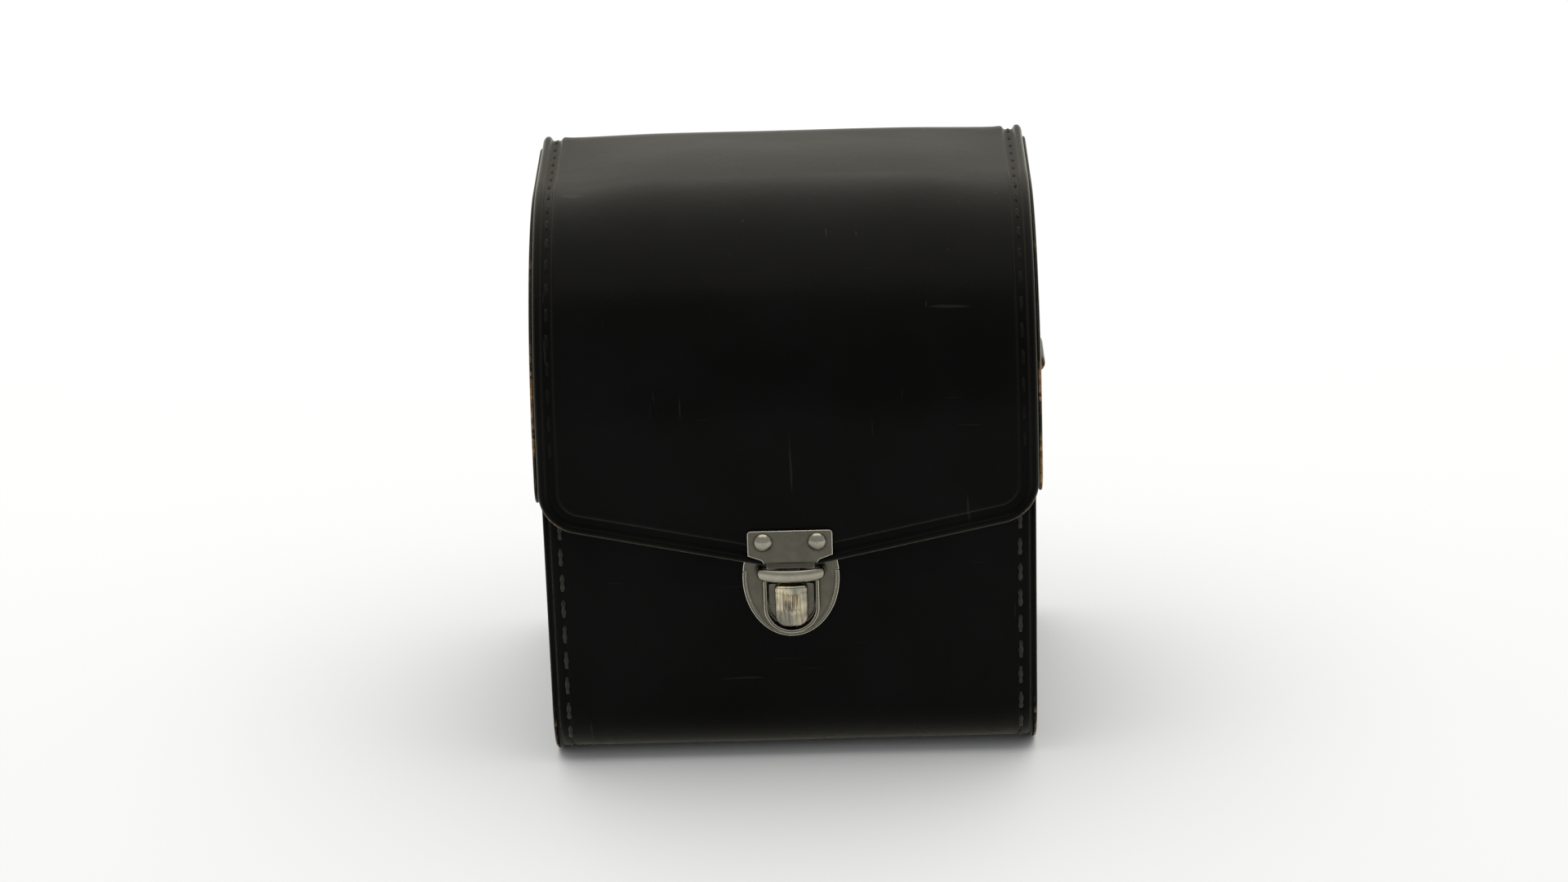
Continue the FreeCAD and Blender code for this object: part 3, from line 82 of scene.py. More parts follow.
class CaseSizes(bpy.types.PropertyGroup):
    wrap_leather: length("Wrap leather", 2.4, "Thickness of the body's front, bottom and back")
    side_leather: length("Side leather", 1.6, "Thickness of the body's sides")
    flap_leather: length("Flap leather", 2.4, "Thickness of the lid's top and front")
    lid_side_leather: length("Lid side leather", 1.0, "Thickness of the lid's side walls")
    bottom_radius: length("Bottom radius", 14, "Outside radius where the body turns under")
    rim_drop: length("Rim drop", 0.9, "How far the side rims stand below the wrap")
    front_height: length("Front height", 76, "Top of the body's front wall")
    fold_height: length("Fold height", 97, "Height of the lid's fold")
    fold_gap: length("Fold gap", 0.5, "Each wall's distance from the fold")
    arch_height: length("Arch height", 82, "Where the lid's front starts to arch back")
    back_wall: length("Lid back wall", 13, "Lid's upright back above the fold")
    corner_height: length("Corner height", 61, "Flap's lower corners")
    flap_drop: length("Flap drop", 12, "Flap's middle point below its corners")
    corner_radius: length("Corner radius", 10, "Rounding of the flap's lower corners")
    bead_width: length("Bead width", 2.0, "Raised border of the flap")
    channel_width: length("Channel width", 2.4, "Pressed channel inside the border")
    channel_depth: length("Channel depth", 0.75, "Depth of that channel")
    flange_width: length("Flange width", 8, "Turned-in border of the side pieces")
    lining_cloth: length("Lining cloth", 0.6, "Thickness of the velvet")
    seam_gap: length("Seam gap", 0.1, "Between leathers that lie on each other")
    seam_inset: length("Seam inset", 2.2, "Seam from the leather's edge")
    stitch_pitch: length("Stitch pitch", 6.4, "One stitch to the next")
    stitch_length: length("Stitch length", 4.9, "Visible length of a stitch")
    thread_size: length("Thread size", 0.85, "Thickness of the thread")
    tab_leather: length("Tab leather", 0.8, "Thickness of a strap tab's leather")
    ring_wire: length("Ring wire", 1.8, "Thickness of a strap ring's wire")
    tab_width: length("Tab width", 16, "Width of a strap tab")
    side_lean: bpy.props.FloatProperty(name="Side lean", default=math.radians(0.45), subtype="ANGLE",
                                       description="How far each side leans out towards the top")


class CaseColours(bpy.types.PropertyGroup):
    leather: colour("Leather", (0.002, 0.002, 0.0023), "Dyed and polished face of the leather")
    worn_leather: colour("Worn leather", (0.30, 0.17, 0.075), "Tan leather where the dye has rubbed off")
    thread: colour("Thread", (0.016, 0.015, 0.014), "Waxed thread")
    velvet: colour("Velvet", (0.16, 0.028, 0.032), "Lining")
    nickel: colour("Nickel", (0.40, 0.375, 0.305), "Nickel of the bar, rivets and rings")
    # Shaded nickel: the nickel darkened as painted shade, for the dark reflection that the plates' flat
    # faces show.
    shaded_nickel: colour("Dull nickel", (0.125, 0.117, 0.092), "Darkened nickel of the plates")
    brass: colour("Brass", (0.70, 0.61, 0.42), "Brass where the plate has worn through")
    steel: colour("Steel", (0.42, 0.42, 0.41), "Plain steel")
    board: colour("Board", (0.32, 0.24, 0.155), "Fibre board in the bottom")
    floor: colour("Floor", (0.92, 0.93, 0.95), "Floor and backdrop")


def sizes():
    return bpy.context.scene.case_sizes


def colours():
    return bpy.context.scene.case_colours


# Shader helpers

class Shader:
    """A new material with its nodes."""

    def __init__(self, name):
        self.material = bpy.data.materials.new(name)
        self.material.use_nodes = True
        self.tree = self.material.node_tree
        self.tree.nodes.clear()
        self.output = self.node("ShaderNodeOutputMaterial")
        self.surface = self.node("ShaderNodeBsdfPrincipled")
        self.join(self.surface, "BSDF", self.output, "Surface")
        self.place = self.node("ShaderNodeTexCoord")

    def node(self, kind, **settings):
        made = self.tree.nodes.new(kind)
        for key, value in settings.items():
            if key in made.inputs:
                made.inputs[key].default_value = value
            else:
                setattr(made, key, value)
        return made

    def join(self, source, output, target, socket):
        self.tree.links.new(source.outputs[output], target.inputs[socket])

    def noise(self, scale, detail=3.0, roughness=0.5, stretch=None):
        made = self.node("ShaderNodeTexNoise", Scale=scale, Detail=detail, Roughness=roughness)
        if stretch:
            mapping = self.node("ShaderNodeMapping", Scale=stretch)
            self.join(self.place, "Object", mapping, "Vector")
            self.join(mapping, "Vector", made, "Vector")
        else:
            self.join(self.place, "Object", made, "Vector")
        return made

    def ramp(self, source, output, low, high, start=0.0, end=1.0):
        """Map a value from low..high to start..end, clamped."""
        made = self.node("ShaderNodeMapRange")
        made.inputs["From Min"].default_value = low
        made.inputs["From Max"].default_value = high
        made.inputs["To Min"].default_value = start
        made.inputs["To Max"].default_value = end
        self.join(source, output, made, "Value")
        return made

    def math(self, operation, first, second):
        made = self.node("ShaderNodeMath", operation=operation)
        for index, item in enumerate((first, second)):
            if isinstance(item, (int, float)):
                made.inputs[index].default_value = item
            else:
                self.tree.links.new(item.outputs[0], made.inputs[index])
        return made

    def mix(self, factor, first, second):
        """Mix two colours; each is a colour or a node."""
        made = self.node("ShaderNodeMix", data_type="RGBA")
        self.tree.links.new(factor.outputs[0], made.inputs[0])
        for index, item in ((6, first), (7, second)):
            if hasattr(item, "outputs"):
                self.tree.links.new(item.outputs[2 if item.bl_idname == "ShaderNodeMix" else 0],
                                    made.inputs[index])
            else:
                made.inputs[index].default_value = (*item, 1)
        return made

    def paint(self, mixed):
        self.tree.links.new(mixed.outputs[2], self.surface.inputs["Base Color"])

    def bump(self, height, strength, distance, under=None):
        made = self.node("ShaderNodeBump", Strength=strength, Distance=distance)
        self.tree.links.new(height.outputs[0], made.inputs["Height"])
        if under:
            self.join(under, "Normal", made, "Normal")
        self.join(made, "Normal", self.surface, "Normal")
        return made


def shade(base, factor):
    return tuple(channel * factor for channel in base)


def dull_bloom(s):
    """Faint pale bloom of old polish, seen where the surface turns away."""
    s.surface.inputs["Sheen Weight"].default_value = 0.3
    s.surface.inputs["Sheen Roughness"].default_value = 0.4
    s.surface.inputs["Sheen Tint"].default_value = (1, 0.96, 0.74, 1)


def leather_finish():
    """Black polished leather: fine grain, creases, scratches and tan wear on the edges."""
    s = Shader("black_leather")
    tones = s.noise(38, detail=5)
    tone = s.ramp(tones, "Fac", 0.35, 0.7)
    black = s.mix(tone, shade(colours().leather, 0.6), shade(colours().leather, 1.5))
    worn = s.node("ShaderNodeAttribute", attribute_name="wear")
    patches = s.noise(420, detail=6, roughness=0.7)
    break_up = s.ramp(patches, "Fac", 0.38, 0.56)
    wear_and_edge_highlight = s.math("MULTIPLY", break_up, s.ramp(worn, "Fac", 0.0, 1.0))
    heavy = s.ramp(worn, "Fac", 0.55, 1.0)
    mask = s.math("MAXIMUM", wear_and_edge_highlight, s.math("MULTIPLY", heavy, 0.9))
    sharp = s.ramp(mask, "Value", 0.22, 0.6)
    browns = s.noise(900, detail=4)
    tan = s.mix(s.ramp(browns, "Fac", 0.35, 0.68), shade(colours().worn_leather, 0.35),
                shade(colours().worn_leather, 1.5))
    dark_tan = s.mix(sharp, black, tan)
    lines = s.noise(60, detail=2, roughness=0.4, stretch=(0.6, 0.6, 14))
    scratch = s.ramp(lines, "Fac", 0.73, 0.76)
    cross_lines = s.noise(60, detail=2, roughness=0.4, stretch=(12, 3, 0.7))
    cross_scratch = s.ramp(cross_lines, "Fac", 0.74, 0.77)
    scratches = s.math("MULTIPLY", s.math("MAXIMUM", scratch, cross_scratch), 0.3)
    s.paint(s.mix(scratches, dark_tan, (0.04, 0.035, 0.03)))
    smears = s.noise(55, detail=4)
    rough = s.ramp(smears, "Fac", 0.3, 0.75, 0.2, 0.33)
    rough_worn = s.math("MAXIMUM", rough, s.math("MULTIPLY", sharp, 0.62))
    s.tree.links.new(rough_worn.outputs[0], s.surface.inputs["Roughness"])
    s.surface.inputs["Specular IOR Level"].default_value = 0.035
    dull_bloom(s)
    dents = s.bump(s.noise(70, detail=3), 0.25, 0.5 * MM)
    pebbles = s.node("ShaderNodeTexVoronoi", Scale=1900, feature="SMOOTH_F1")
    s.join(s.place, "Object", pebbles, "Vector")
    grain = s.bump(pebbles, 0.22, 0.05 * MM, under=dents)
    pores = s.bump(s.noise(2600, detail=4, roughness=0.65), 0.28, 0.05 * MM, under=grain)
    s.bump(scratches, 0.25, -0.05 * MM, under=pores)
    return s.material


def thread_finish(name, tone, gloss):
    """Waxed thread, a little dusty."""
    s = Shader(name)
    s.paint(s.mix(s.ramp(s.noise(700, detail=4), "Fac", 0.3, 0.7), shade(tone, 0.35),
                  shade(tone, 1.5)))
    s.surface.inputs["Roughness"].default_value = 0.6
    s.surface.inputs["Specular IOR Level"].default_value = gloss
    dull_bloom(s)
    s.bump(s.noise(5000, detail=2), 0.5, 0.05 * MM)
    return s.material


def velvet_finish():
    """Short dense pile, paler where it catches the light."""
    s = Shader("velvet_pile")
    s.paint(s.mix(s.ramp(s.noise(120, detail=6, roughness=0.7), "Fac", 0.3, 0.7),
                  shade(colours().velvet, 0.55), shade(colours().velvet, 1.35)))
    s.surface.inputs["Roughness"].default_value = 0.95
    s.surface.inputs["Specular IOR Level"].default_value = 0.15
    s.surface.inputs["Sheen Weight"].default_value = 0.6
    s.surface.inputs["Sheen Roughness"].default_value = 0.4
    s.surface.inputs["Sheen Tint"].default_value = (0.8, 0.45, 0.45, 1)
    pile = s.bump(s.noise(6000, detail=2), 0.6, 0.2 * MM)
    s.bump(s.noise(160, detail=4), 0.3, 0.6 * MM, under=pile)
    return s.material


def metal_finish(name, bright, stain, rough_low, rough_high, edge=None, worn=None):
    """Plated metal with dull patina, stains and fine scratches; painted shade darkens its hollows, and a
    painted highlight brightens its edges when an edge colour is given.
    """
    s = Shader(name)
    base = s.mix(s.ramp(s.noise(300, detail=7, roughness=0.65), "Fac", 0.3, 0.72),
                 shade(bright, stain), bright)
    spots = s.noise(1100, detail=5, roughness=0.6)
    stains_with_painted_light = s.mix(s.ramp(spots, "Fac", 0.68, 0.76), base, shade(bright, stain * 0.4))
    # Painted shade: the ambient-occlusion mask darkens the colour to 8 per cent of the metal's own in
    # hollows and where parts meet within 0.8 mm.
    painted_hollow_shade = s.node("ShaderNodeAmbientOcclusion", samples=6, Distance=0.8 * MM)
    stains_with_painted_light = s.mix(s.ramp(painted_hollow_shade, "AO", 0.4, 0.95), shade(bright, 0.08), stains_with_painted_light)
    if worn:
        stains_with_painted_light = s.mix(s.ramp(s.noise(170, detail=4), "Fac", 0.42, 0.6), stains_with_painted_light, worn)
        streaks = s.ramp(s.noise(300, detail=3, stretch=(7, 1, 0.5)), "Fac", 0.5, 0.6)
        stains_with_painted_light = s.mix(s.math("MULTIPLY", streaks, 0.5), stains_with_painted_light, shade(bright, 0.3))
    edges = s.node("ShaderNodeBevel", samples=8, Radius=0.3 * MM)
    # Painted highlight: where the bevel normal turns away from the face normal, the given edge colour is
    # painted on the metal's rims.
    if edge:
        flat = s.node("ShaderNodeNewGeometry")
        turned = s.node("ShaderNodeVectorMath", operation="DOT_PRODUCT")
        s.join(edges, "Normal", turned, 0)
        s.join(flat, "Normal", turned, 1)
        wear_and_edge_highlight = s.ramp(turned, "Value", 0.998, 0.95)
        stains_with_painted_light = s.mix(wear_and_edge_highlight, stains_with_painted_light, edge)
    s.paint(stains_with_painted_light)
    s.surface.inputs["Metallic"].default_value = 1.0
    rough = s.ramp(s.noise(330, detail=5, roughness=0.7), "Fac", 0.3, 0.7, rough_low, rough_high)
    s.tree.links.new(rough.outputs[0], s.surface.inputs["Roughness"])
    scuffs = s.bump(s.noise(160, detail=6, roughness=0.75, stretch=(1, 1, 22)), 0.1, 0.05 * MM,
                    under=edges)
    s.bump(s.noise(1500, detail=4), 0.1, 0.05 * MM, under=scuffs)
    return s.material


def board_finish():
    """Pressed fibre board."""
    s = Shader("fibre_board")
    s.paint(s.mix(s.ramp(s.noise(900, detail=6, roughness=0.7, stretch=(1, 3, 1)), "Fac", 0.3, 0.7),
                  shade(colours().board, 0.6), shade(colours().board, 1.15)))
    s.surface.inputs["Roughness"].default_value = 0.85
    s.bump(s.noise(2500, detail=4), 0.3, 0.1 * MM)
    return s.material


# Flat outlines and bent surfaces

def unit(vectors):
    return vectors / np.maximum(np.linalg.norm(vectors, axis=-1, keepdims=True), 1e-12)


def along_line(points, count):
    """Spread count points evenly along a broken line."""
    points = np.asarray(points, float)
    runs = np.linalg.norm(np.diff(points, axis=0), axis=1)
    reach = np.concatenate(([0], np.cumsum(runs)))
    places = np.linspace(0, reach[-1], count)
    return np.stack([np.interp(places, reach, points[:, axis]) for axis in (0, 1)], axis=1)


def round_corner(before, corner, after, radius, count=25):
    """Points of the arc that rounds a corner."""
    back = unit(before - corner)
    ahead = unit(after - corner)
    half = math.acos(np.clip(back @ ahead, -1, 1)) / 2
    centre = corner + unit(back + ahead) * radius / math.sin(half)
    start = corner + back * radius / math.tan(half) - centre
    turn = (math.pi - 2 * half) * np.sign(back[1] * ahead[0] - back[0] * ahead[1])
    angles = np.linspace(0, turn, count)
    return np.stack([centre[0] + start[0] * np.cos(angles) - start[1] * np.sin(angles),
                     centre[1] + start[0] * np.sin(angles) + start[1] * np.cos(angles)], axis=1)


def inset_outline(corners, inset):
    """Move an outline's corners inwards, keeping its roundings concentric."""
    spots = np.array([corner[:2] for corner in corners], float)
    ahead = unit(np.roll(spots, -1, axis=0) - spots)
    before = np.roll(ahead, 1, axis=0)
    inward = unit(ahead[:, ::-1] * (-1, 1) + before[:, ::-1] * (-1, 1))
    reach = inset / np.sum(inward * ahead[:, ::-1] * (-1, 1), axis=1)
    turn = before[:, 0] * ahead[:, 1] - before[:, 1] * ahead[:, 0]
    moved = spots + inward * reach[:, None]
    return [(*moved[i], max(corner[2] - inset * np.sign(turn[i]), 0.05 * MM), *corner[3:])
            for i, corner in enumerate(corners)]


def four_sides(corners, across, along):
    """Split a rounded outline at its four corners' middles.

    corners are (a, b, radius) counter-clockwise from the lower left; one with a fourth item
    belongs to the side that it lies on. The sides are the bottom, right, top and left.
    """
    spots = [np.array(corner[:2], float) for corner in corners]
    count = len(corners)
    arcs = [round_corner(spots[i - 1], spots[i], spots[(i + 1) % count], corners[i][2])
            for i in range(count)]
    splits = [i for i in range(count) if len(corners[i]) == 3]
    sides = []
    for place, start in enumerate(splits):
        end = splits[(place + 1) % 4]
        line = list(arcs[start][len(arcs[start]) // 2:])
        step = (start + 1) % count
        while step != end:
            line += list(arcs[step])
            step = (step + 1) % count
        line += list(arcs[end][:len(arcs[end]) // 2 + 1])
        sides.append(along_line(line, across if place % 2 == 0 else along)[:-1])
    return np.concatenate(sides)


class BentLine:
    """Side outline of bent leather: straight runs and arcs through (Y, Z, radius) corners."""

    def __init__(self, corners):
        spots = [np.array(corner[:2], float) for corner in corners]
        line = [spots[0]]
        for i in range(1, len(spots) - 1):
            line += list(round_corner(spots[i - 1], spots[i], spots[i + 1], corners[i][2], count=61))
        line.append(spots[-1])
        self.points = np.array(line)
        runs = np.linalg.norm(np.diff(self.points, axis=0), axis=1)
        self.reach = np.concatenate(([0], np.cumsum(runs)))
        self.length = self.reach[-1]
        headings = unit(np.gradient(self.points, self.reach, axis=0))
        self.outward = np.stack([headings[:, 1], -headings[:, 0]], axis=1)

    def at(self, place, height):
        """Y, Z and outward direction at a distance along the line, raised by height."""
        spot = [np.interp(place, self.reach, self.points[:, axis]) for axis in (0, 1)]
        away = unit(np.stack([np.interp(place, self.reach, self.outward[:, axis]) for axis in (0, 1)],
                             axis=-1))
        return spot[0] + away[..., 0] * height, spot[1] + away[..., 1] * height, away


def smooth(value, low, high):
    """Rise from 0 at low to 1 at high, with level ends."""
    part = np.clip((value - low) / (high - low), 0, 1)
    return part * part * (3 - 2 * part)


def ripple(a, b, size):
    """Slow unevenness of hand-formed leather."""
    return size * (np.sin(a * 61 + b * 37 + 0.4) + np.sin(a * 113 - b * 71 + 1.7)
                   + 0.6 * np.sin(a * 29 + b * 151 + 2.9) + 0.5 * np.sin(b * 97 - a * 173)) / 3.1


def rounded_rings(thick, rounding, insets):
    """Steps from the inner face, round the cut edge, to the outer face, as (inset, height)."""
    steps = [(inset, -thick) for inset in insets[::-1] if inset > rounding]
    quarter = np.linspace(0, math.pi / 2, 5)
    steps += [(rounding * (1 - math.sin(turn)), -thick + rounding * (1 - math.cos(turn)))
              for turn in quarter]
    steps += [(rounding * (1 - math.cos(turn)), -rounding * (1 - math.sin(turn))) for turn in quarter]
    return steps + [(inset, 0) for inset in insets if inset > rounding]


def sheet_mesh(name, outline, counts, rings, surface, body, finish):
    """Close a leather or cloth sheet from its flat outline.

    surface takes the flat place (a, b), the inset from the cut edge, the height over the outer
    face and whether the point is on the outer face, and gives X, Y, Z and the wear.
    """
    across, along = counts
    flat = [four_sides(inset_outline(outline, inset), across, along) for inset, height in rings]
    around = len(flat[0])
    inside = inner_patch(flat[-1], across, along)[1:-1, 1:-1].reshape(-1, 2)
    deepest = np.full(len(inside), rings[-1][0])
    a = np.concatenate([inside[:, 0]] + [ring[:, 0] for ring in flat] + [inside[:, 0]])
    b = np.concatenate([inside[:, 1]] + [ring[:, 1] for ring in flat] + [inside[:, 1]])
    inset = np.concatenate([deepest] + [np.full(around, ring[0]) for ring in rings] + [deepest])
    height = np.concatenate([np.full(len(inside), rings[0][1])]
                            + [np.full(around, ring[1]) for ring in rings]
                            + [np.full(len(inside), rings[-1][1])])
    middle = (rings[0][1] + rings[-1][1]) / 2
    x, y, z, wear = surface(a, b, inset, height, height > middle)
    faces = []
    first_ring = len(inside)
    for ring in range(len(rings) - 1):
        start = first_ring + ring * around
        for i in range(around):
            j = (i + 1) % around
            faces.append((start + i, start + j, start + around + j, start + around + i))
    last_ring = first_ring + (len(rings) - 1) * around
    faces += patch_faces(across, along, first_ring, 0, True)
    faces += patch_faces(across, along, last_ring, last_ring + around, False)
    return new_piece(name, np.stack([x, y, z], axis=1), faces, body, finish, wear)


def inner_patch(loop, across, along):
    """Fill a four-sided loop with an even grid."""
    bottom = loop[:across]
    right = loop[across - 1:across + along - 1]
    top = loop[across + along - 2:2 * across + along - 2][::-1]
    left = np.concatenate([loop[2 * across + along - 3:], loop[:1]])[::-1]
    u = np.linspace(0, 1, across)[None, :, None]
    v = np.linspace(0, 1, along)[:, None, None]
    edges = (1 - v) * bottom[None] + v * top[None] + (1 - u) * left[:, None] + u * right[:, None]
    ends = ((1 - u) * (1 - v) * bottom[0] + u * (1 - v) * bottom[-1]
            + (1 - u) * v * top[0] + u * v * top[-1])
    return edges - ends


def patch_faces(across, along, ring, inside, turned):
    """Quads that join a grid's inner points to the ring round it."""
    index = np.zeros((along, across), int)
    index[1:-1, 1:-1] = inside + np.arange((along - 2) * (across - 2)).reshape(along - 2, across - 2)
    index[0, :] = ring + np.arange(across)
    index[:, -1] = ring + across - 1 + np.arange(along)
    index[-1, ::-1] = ring + across + along - 2 + np.arange(across)
    left = np.concatenate([ring + 2 * across + along - 3 + np.arange(along - 1), [ring]])
    index[::-1, 0] = left
    quads = []
    for row in range(along - 1):
        for column in range(across - 1):
            quad = (index[row, column], index[row, column + 1], index[row + 1, column + 1],
                    index[row + 1, column])
            quads.append(quad[::-1] if turned else quad)
    return quads


def new_piece(name, points, faces, body, finish, wear=None):
    """Make a smooth-shaded piece that rides on a body."""
    mesh = bpy.data.meshes.new(name)
    mesh.from_pydata(points.tolist(), [], [tuple(int(i) for i in face) for face in faces])
    mesh.validate()
    if wear is not None:
        layer = mesh.attributes.new("wear", "FLOAT", "POINT")
        layer.data.foreach_set("value", np.asarray(wear, np.float32))
    mesh.shade_smooth()
    mesh.materials.append(bpy.data.materials[finish])
    piece = bpy.data.objects.new(name, mesh)
    bpy.context.scene.collection.objects.link(piece)
    if signed_volume(points, faces) < 0:
        mesh.flip_normals()
    if body:
        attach(piece, body)
    return piece


def tube_faces(first, rings, around):
    """Quads along a tube of rings, with closed ends."""
    faces = []
    for ring in range(rings - 1):
        low = first + ring * around
        for i in range(around):
            j = (i + 1) % around
            faces.append((low + i, low + j, low + around + j, low + around + i))
    last = first + (rings - 1) * around
    faces.append(tuple(first + i for i in range(around))[::-1])
    faces.append(tuple(last + i for i in range(around)))
    return faces


def signed_volume(points, faces):
    corners = np.array([face[:3] for face in faces] + [(face[0], face[2], face[3])
                                                       for face in faces if len(face) == 4])
    first, second, third = (points[corners[:, i]] for i in range(3))
    total = np.sum(first * np.cross(second, third))
    return total / 6


# Places shared by several pieces, from the frame

def frame_place():
    """The main planes of the case, from the CAD nodes' boxes."""
    flap_low, flap_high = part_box("lid_flap")
    wrap_low, wrap_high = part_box("body_wrap")
    return {
        "flap_half": flap_high.x,
        "flap_face": flap_low.y,
        "front": wrap_low.y,
        "back": wrap_high.y,
        "top": flap_high.z,
        "wrap_top_half": wrap_high.x,
        "back_top": wrap_high.z,
    }


def lean():
    return math.tan(sizes().side_lean)


def wrap_base_half():
    """Half the wrap's width at the floor."""
    place = frame_place()
    return place["wrap_top_half"] - place["back_top"] * lean()


def base_half():
    """Half the body's width at the floor, over the side panels."""
    return wrap_base_half() + sizes().side_leather + sizes().seam_gap


def body_line(inset, front_top, back_top, floor, radius):
    """The body's side outline, moved inwards by inset."""
    place = frame_place()
    return BentLine([(place["front"] + inset, front_top), (place["front"] + inset, floor, radius),
                     (place["back"] - inset, floor, radius), (place["back"] - inset, back_top)])


def lid_line(inset, front_bottom, back_bottom):
    """The lid's side outline from its back edge over the top to its front edge."""
    place = frame_place()
    front_radius = place["top"] - sizes().arch_height
    back_radius = place["top"] - sizes().fold_height - sizes().back_wall
    return BentLine([(place["back"] - inset, back_bottom),
                     (place["back"] - inset, place["top"] - inset, back_radius - inset),
                     (place["flap_face"] + inset, place["top"] - inset, front_radius - inset),
                     (place["flap_face"] + inset, front_bottom)])


def on_side(hand, out, y, z):
    """Stand a point of a side drawing on the leaning side panel's outer face."""
    turn = sizes().side_lean
    x = hand * (base_half() + out * math.cos(turn) + z * math.sin(turn))
    return x, y, z * math.cos(turn) - out * math.sin(turn)


def wear_spots(value, spots):
    """Bumps of wear at (middle, half length, strength) along a value."""
    worn = np.zeros_like(value)
    for middle, half, strength in spots:
        worn = np.maximum(worn, strength * np.exp(-((value - middle * MM) / (half * MM)) ** 2))
    return worn


# Leather pieces

def make_lid_flap():
    """Lid's top and front: bead, pressed channel, raised panel and V edge."""
    s = sizes()
    place = frame_place()
    half = place["flap_half"]
    line = lid_line(0, 0, s.fold_height + s.fold_gap)
    front_floor = line.length
    corner = front_floor - s.corner_height
    point = corner + s.flap_drop
    outline = [(-half, 0, 1 * MM), (half, 0, 1 * MM), (half, corner, s.corner_radius),
               (0, point, s.corner_radius, "side"), (-half, corner, s.corner_radius)]
    bead = s.bead_width
    channel = bead + s.channel_width
    crown_place = 70 * MM
    insets = [inset * MM for inset in
              (0.9, 1.2, 1.5, 1.75, 2.0, 2.2, 2.45, 2.8, 3.3, 3.7, 4.0, 4.25, 4.5, 4.8, 5.2, 5.8, 6.6,
               8, 10)]
    rings = rounded_rings(s.flap_leather, 0.7 * MM, insets)

    def surface(a, b, inset, height, outer):
        fade = smooth(b, 5 * MM, 14 * MM)
        ridge = 0.35 * MM * smooth(inset, 0.1 * MM, 0.9 * MM) * (1 - smooth(inset, 1.3 * MM, bead))
        groove = smooth(inset, bead - 0.35 * MM, bead + 0.35 * MM)
        groove = groove - smooth(inset, channel - 0.4 * MM, channel + 0.5 * MM)
        shoulder = 0.12 * MM * np.exp(-((inset - channel - 0.9 * MM) / (0.8 * MM)) ** 2)
        relief = fade * (ridge + shoulder - s.channel_depth * groove)
        relief = relief + ripple(a, b, 0.09 * MM) * smooth(inset, channel, 10 * MM)
        crown = 1.5 * MM * np.exp(-((b - crown_place) / (27 * MM)) ** 2)
        crown = crown * smooth(half - np.abs(a), 4 * MM, 30 * MM)
        y, z, away = line.at(b, height + crown + np.where(outer, relief, 0))
        down = np.clip((b - (front_floor - 82 * MM)) / (30 * MM), 0, 1)
        edge = np.exp(-(inset / (0.8 * MM)) ** 2) * outer
        wear = edge * (0.12 + 0.12 * down)
        corner_wear = np.exp(-((np.abs(a) - half + 4 * MM) ** 2 + (z - s.corner_height - 3 * MM) ** 2)
                             / (6 * MM) ** 2)
        return a, y, z, np.maximum(wear, 0.5 * corner_wear * edge)

    piece = sheet_mesh("flap_leather", outline, (120, 170), rings, surface, LID, "black_leather")
    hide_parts("lid_flap")


def make_lid_sides():
    """Side walls of the lid with their rounded, worn edge, and the border turned in under the flap."""
    s = sizes()
    place = frame_place()
    rim = 1.0 * MM
    gap = s.seam_gap
    under = s.flap_leather + gap
    front_radius = place["top"] - s.arch_height - under
    back_radius = place["top"] - s.fold_height - s.back_wall - under
    low = s.fold_height + s.fold_gap + rim
    front = place["flap_face"] + under
    back = place["back"] - under
    top = place["top"] - under
    outline = [(front, s.corner_height + rim, 6 * MM), (back, low, 2 * MM),
               (back, top, back_radius), (front, top, front_radius)]
    insets = [inset * MM for inset in (0.8, 1.2, 2.0, 3.0, 4.5, 6.5)]
    rings = rounded_rings(s.lid_side_leather, 0.45 * MM, insets)
    flange_line = lid_line(under, s.corner_height + s.corner_radius, low + 2 * MM)
    spots = {
        -1: [(63, 2.5, 0.9), (80, 2.5, 1.0), (92, 11, 0.8), (118, 3, 0.7), (70, 20, 0.3)],
        1: [(73, 7, 1.1), (91.5, 5, 0.8), (121, 3, 0.9), (82, 18, 0.35), (64, 3, 0.4)],
    }
    turned = 0.2 * MM
    for side, hand in HANDS:
        def surface(a, b, inset, height, outer):
            lump = ripple(a, b, 0.1 * MM) * smooth(inset, 1 * MM, 6.5 * MM)
            x = hand * (place["flap_half"] + gap + s.lid_side_leather + height
                        + np.where(outer, lump - turned * np.exp(-(inset / (1.4 * MM)) ** 2), 0))
            edge = np.exp(-(inset / (2.2 * MM)) ** 2)
            facing = 1 - smooth(a, -45 * MM, -20 * MM)
            worn = np.maximum(0.14, wear_spots(b, spots[hand]) * facing)
            return x, a, b, edge * worn

        piece = sheet_mesh("lid_wall_" + side, outline, (110, 90), rings, surface, LID,
                           "black_leather")
        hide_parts("lid_side_" + side)
        far = hand * (place["flap_half"] + gap + 0.3 * MM)
        near = far - hand * s.flange_width
        bent_strip("lid_border_" + side, flange_line, min(near, far), max(near, far),
                   s.lid_side_leather, LID, "black_leather", along=110, across=8)


def bent_strip(name, line, low, high, thick, body, finish, along, across, leaning=0, lump=0.0):
    """A strip of even width on a bent line; leaning is the hand of the side panel it stands on."""
    corners = [(low, 0, 0.4 * MM), (high, 0, 0.4 * MM), (high, line.length, 0.4 * MM),
               (low, line.length, 0.4 * MM)]
    rings = rounded_rings(thick, thick * 0.35, [thick * 0.6, thick * 1.1])

    def surface(a, b, inset, height, outer):
        y, z, away = line.at(b, height + ripple(a, b, lump) * np.where(outer, 0, 1))
        if leaning:
            x, y, z = on_side(leaning, a, y, z)
            return x, y, z, np.zeros_like(a)
        return a, y, z, np.zeros_like(a)

    return sheet_mesh(name, corners, (across, along), rings, surface, body, finish)


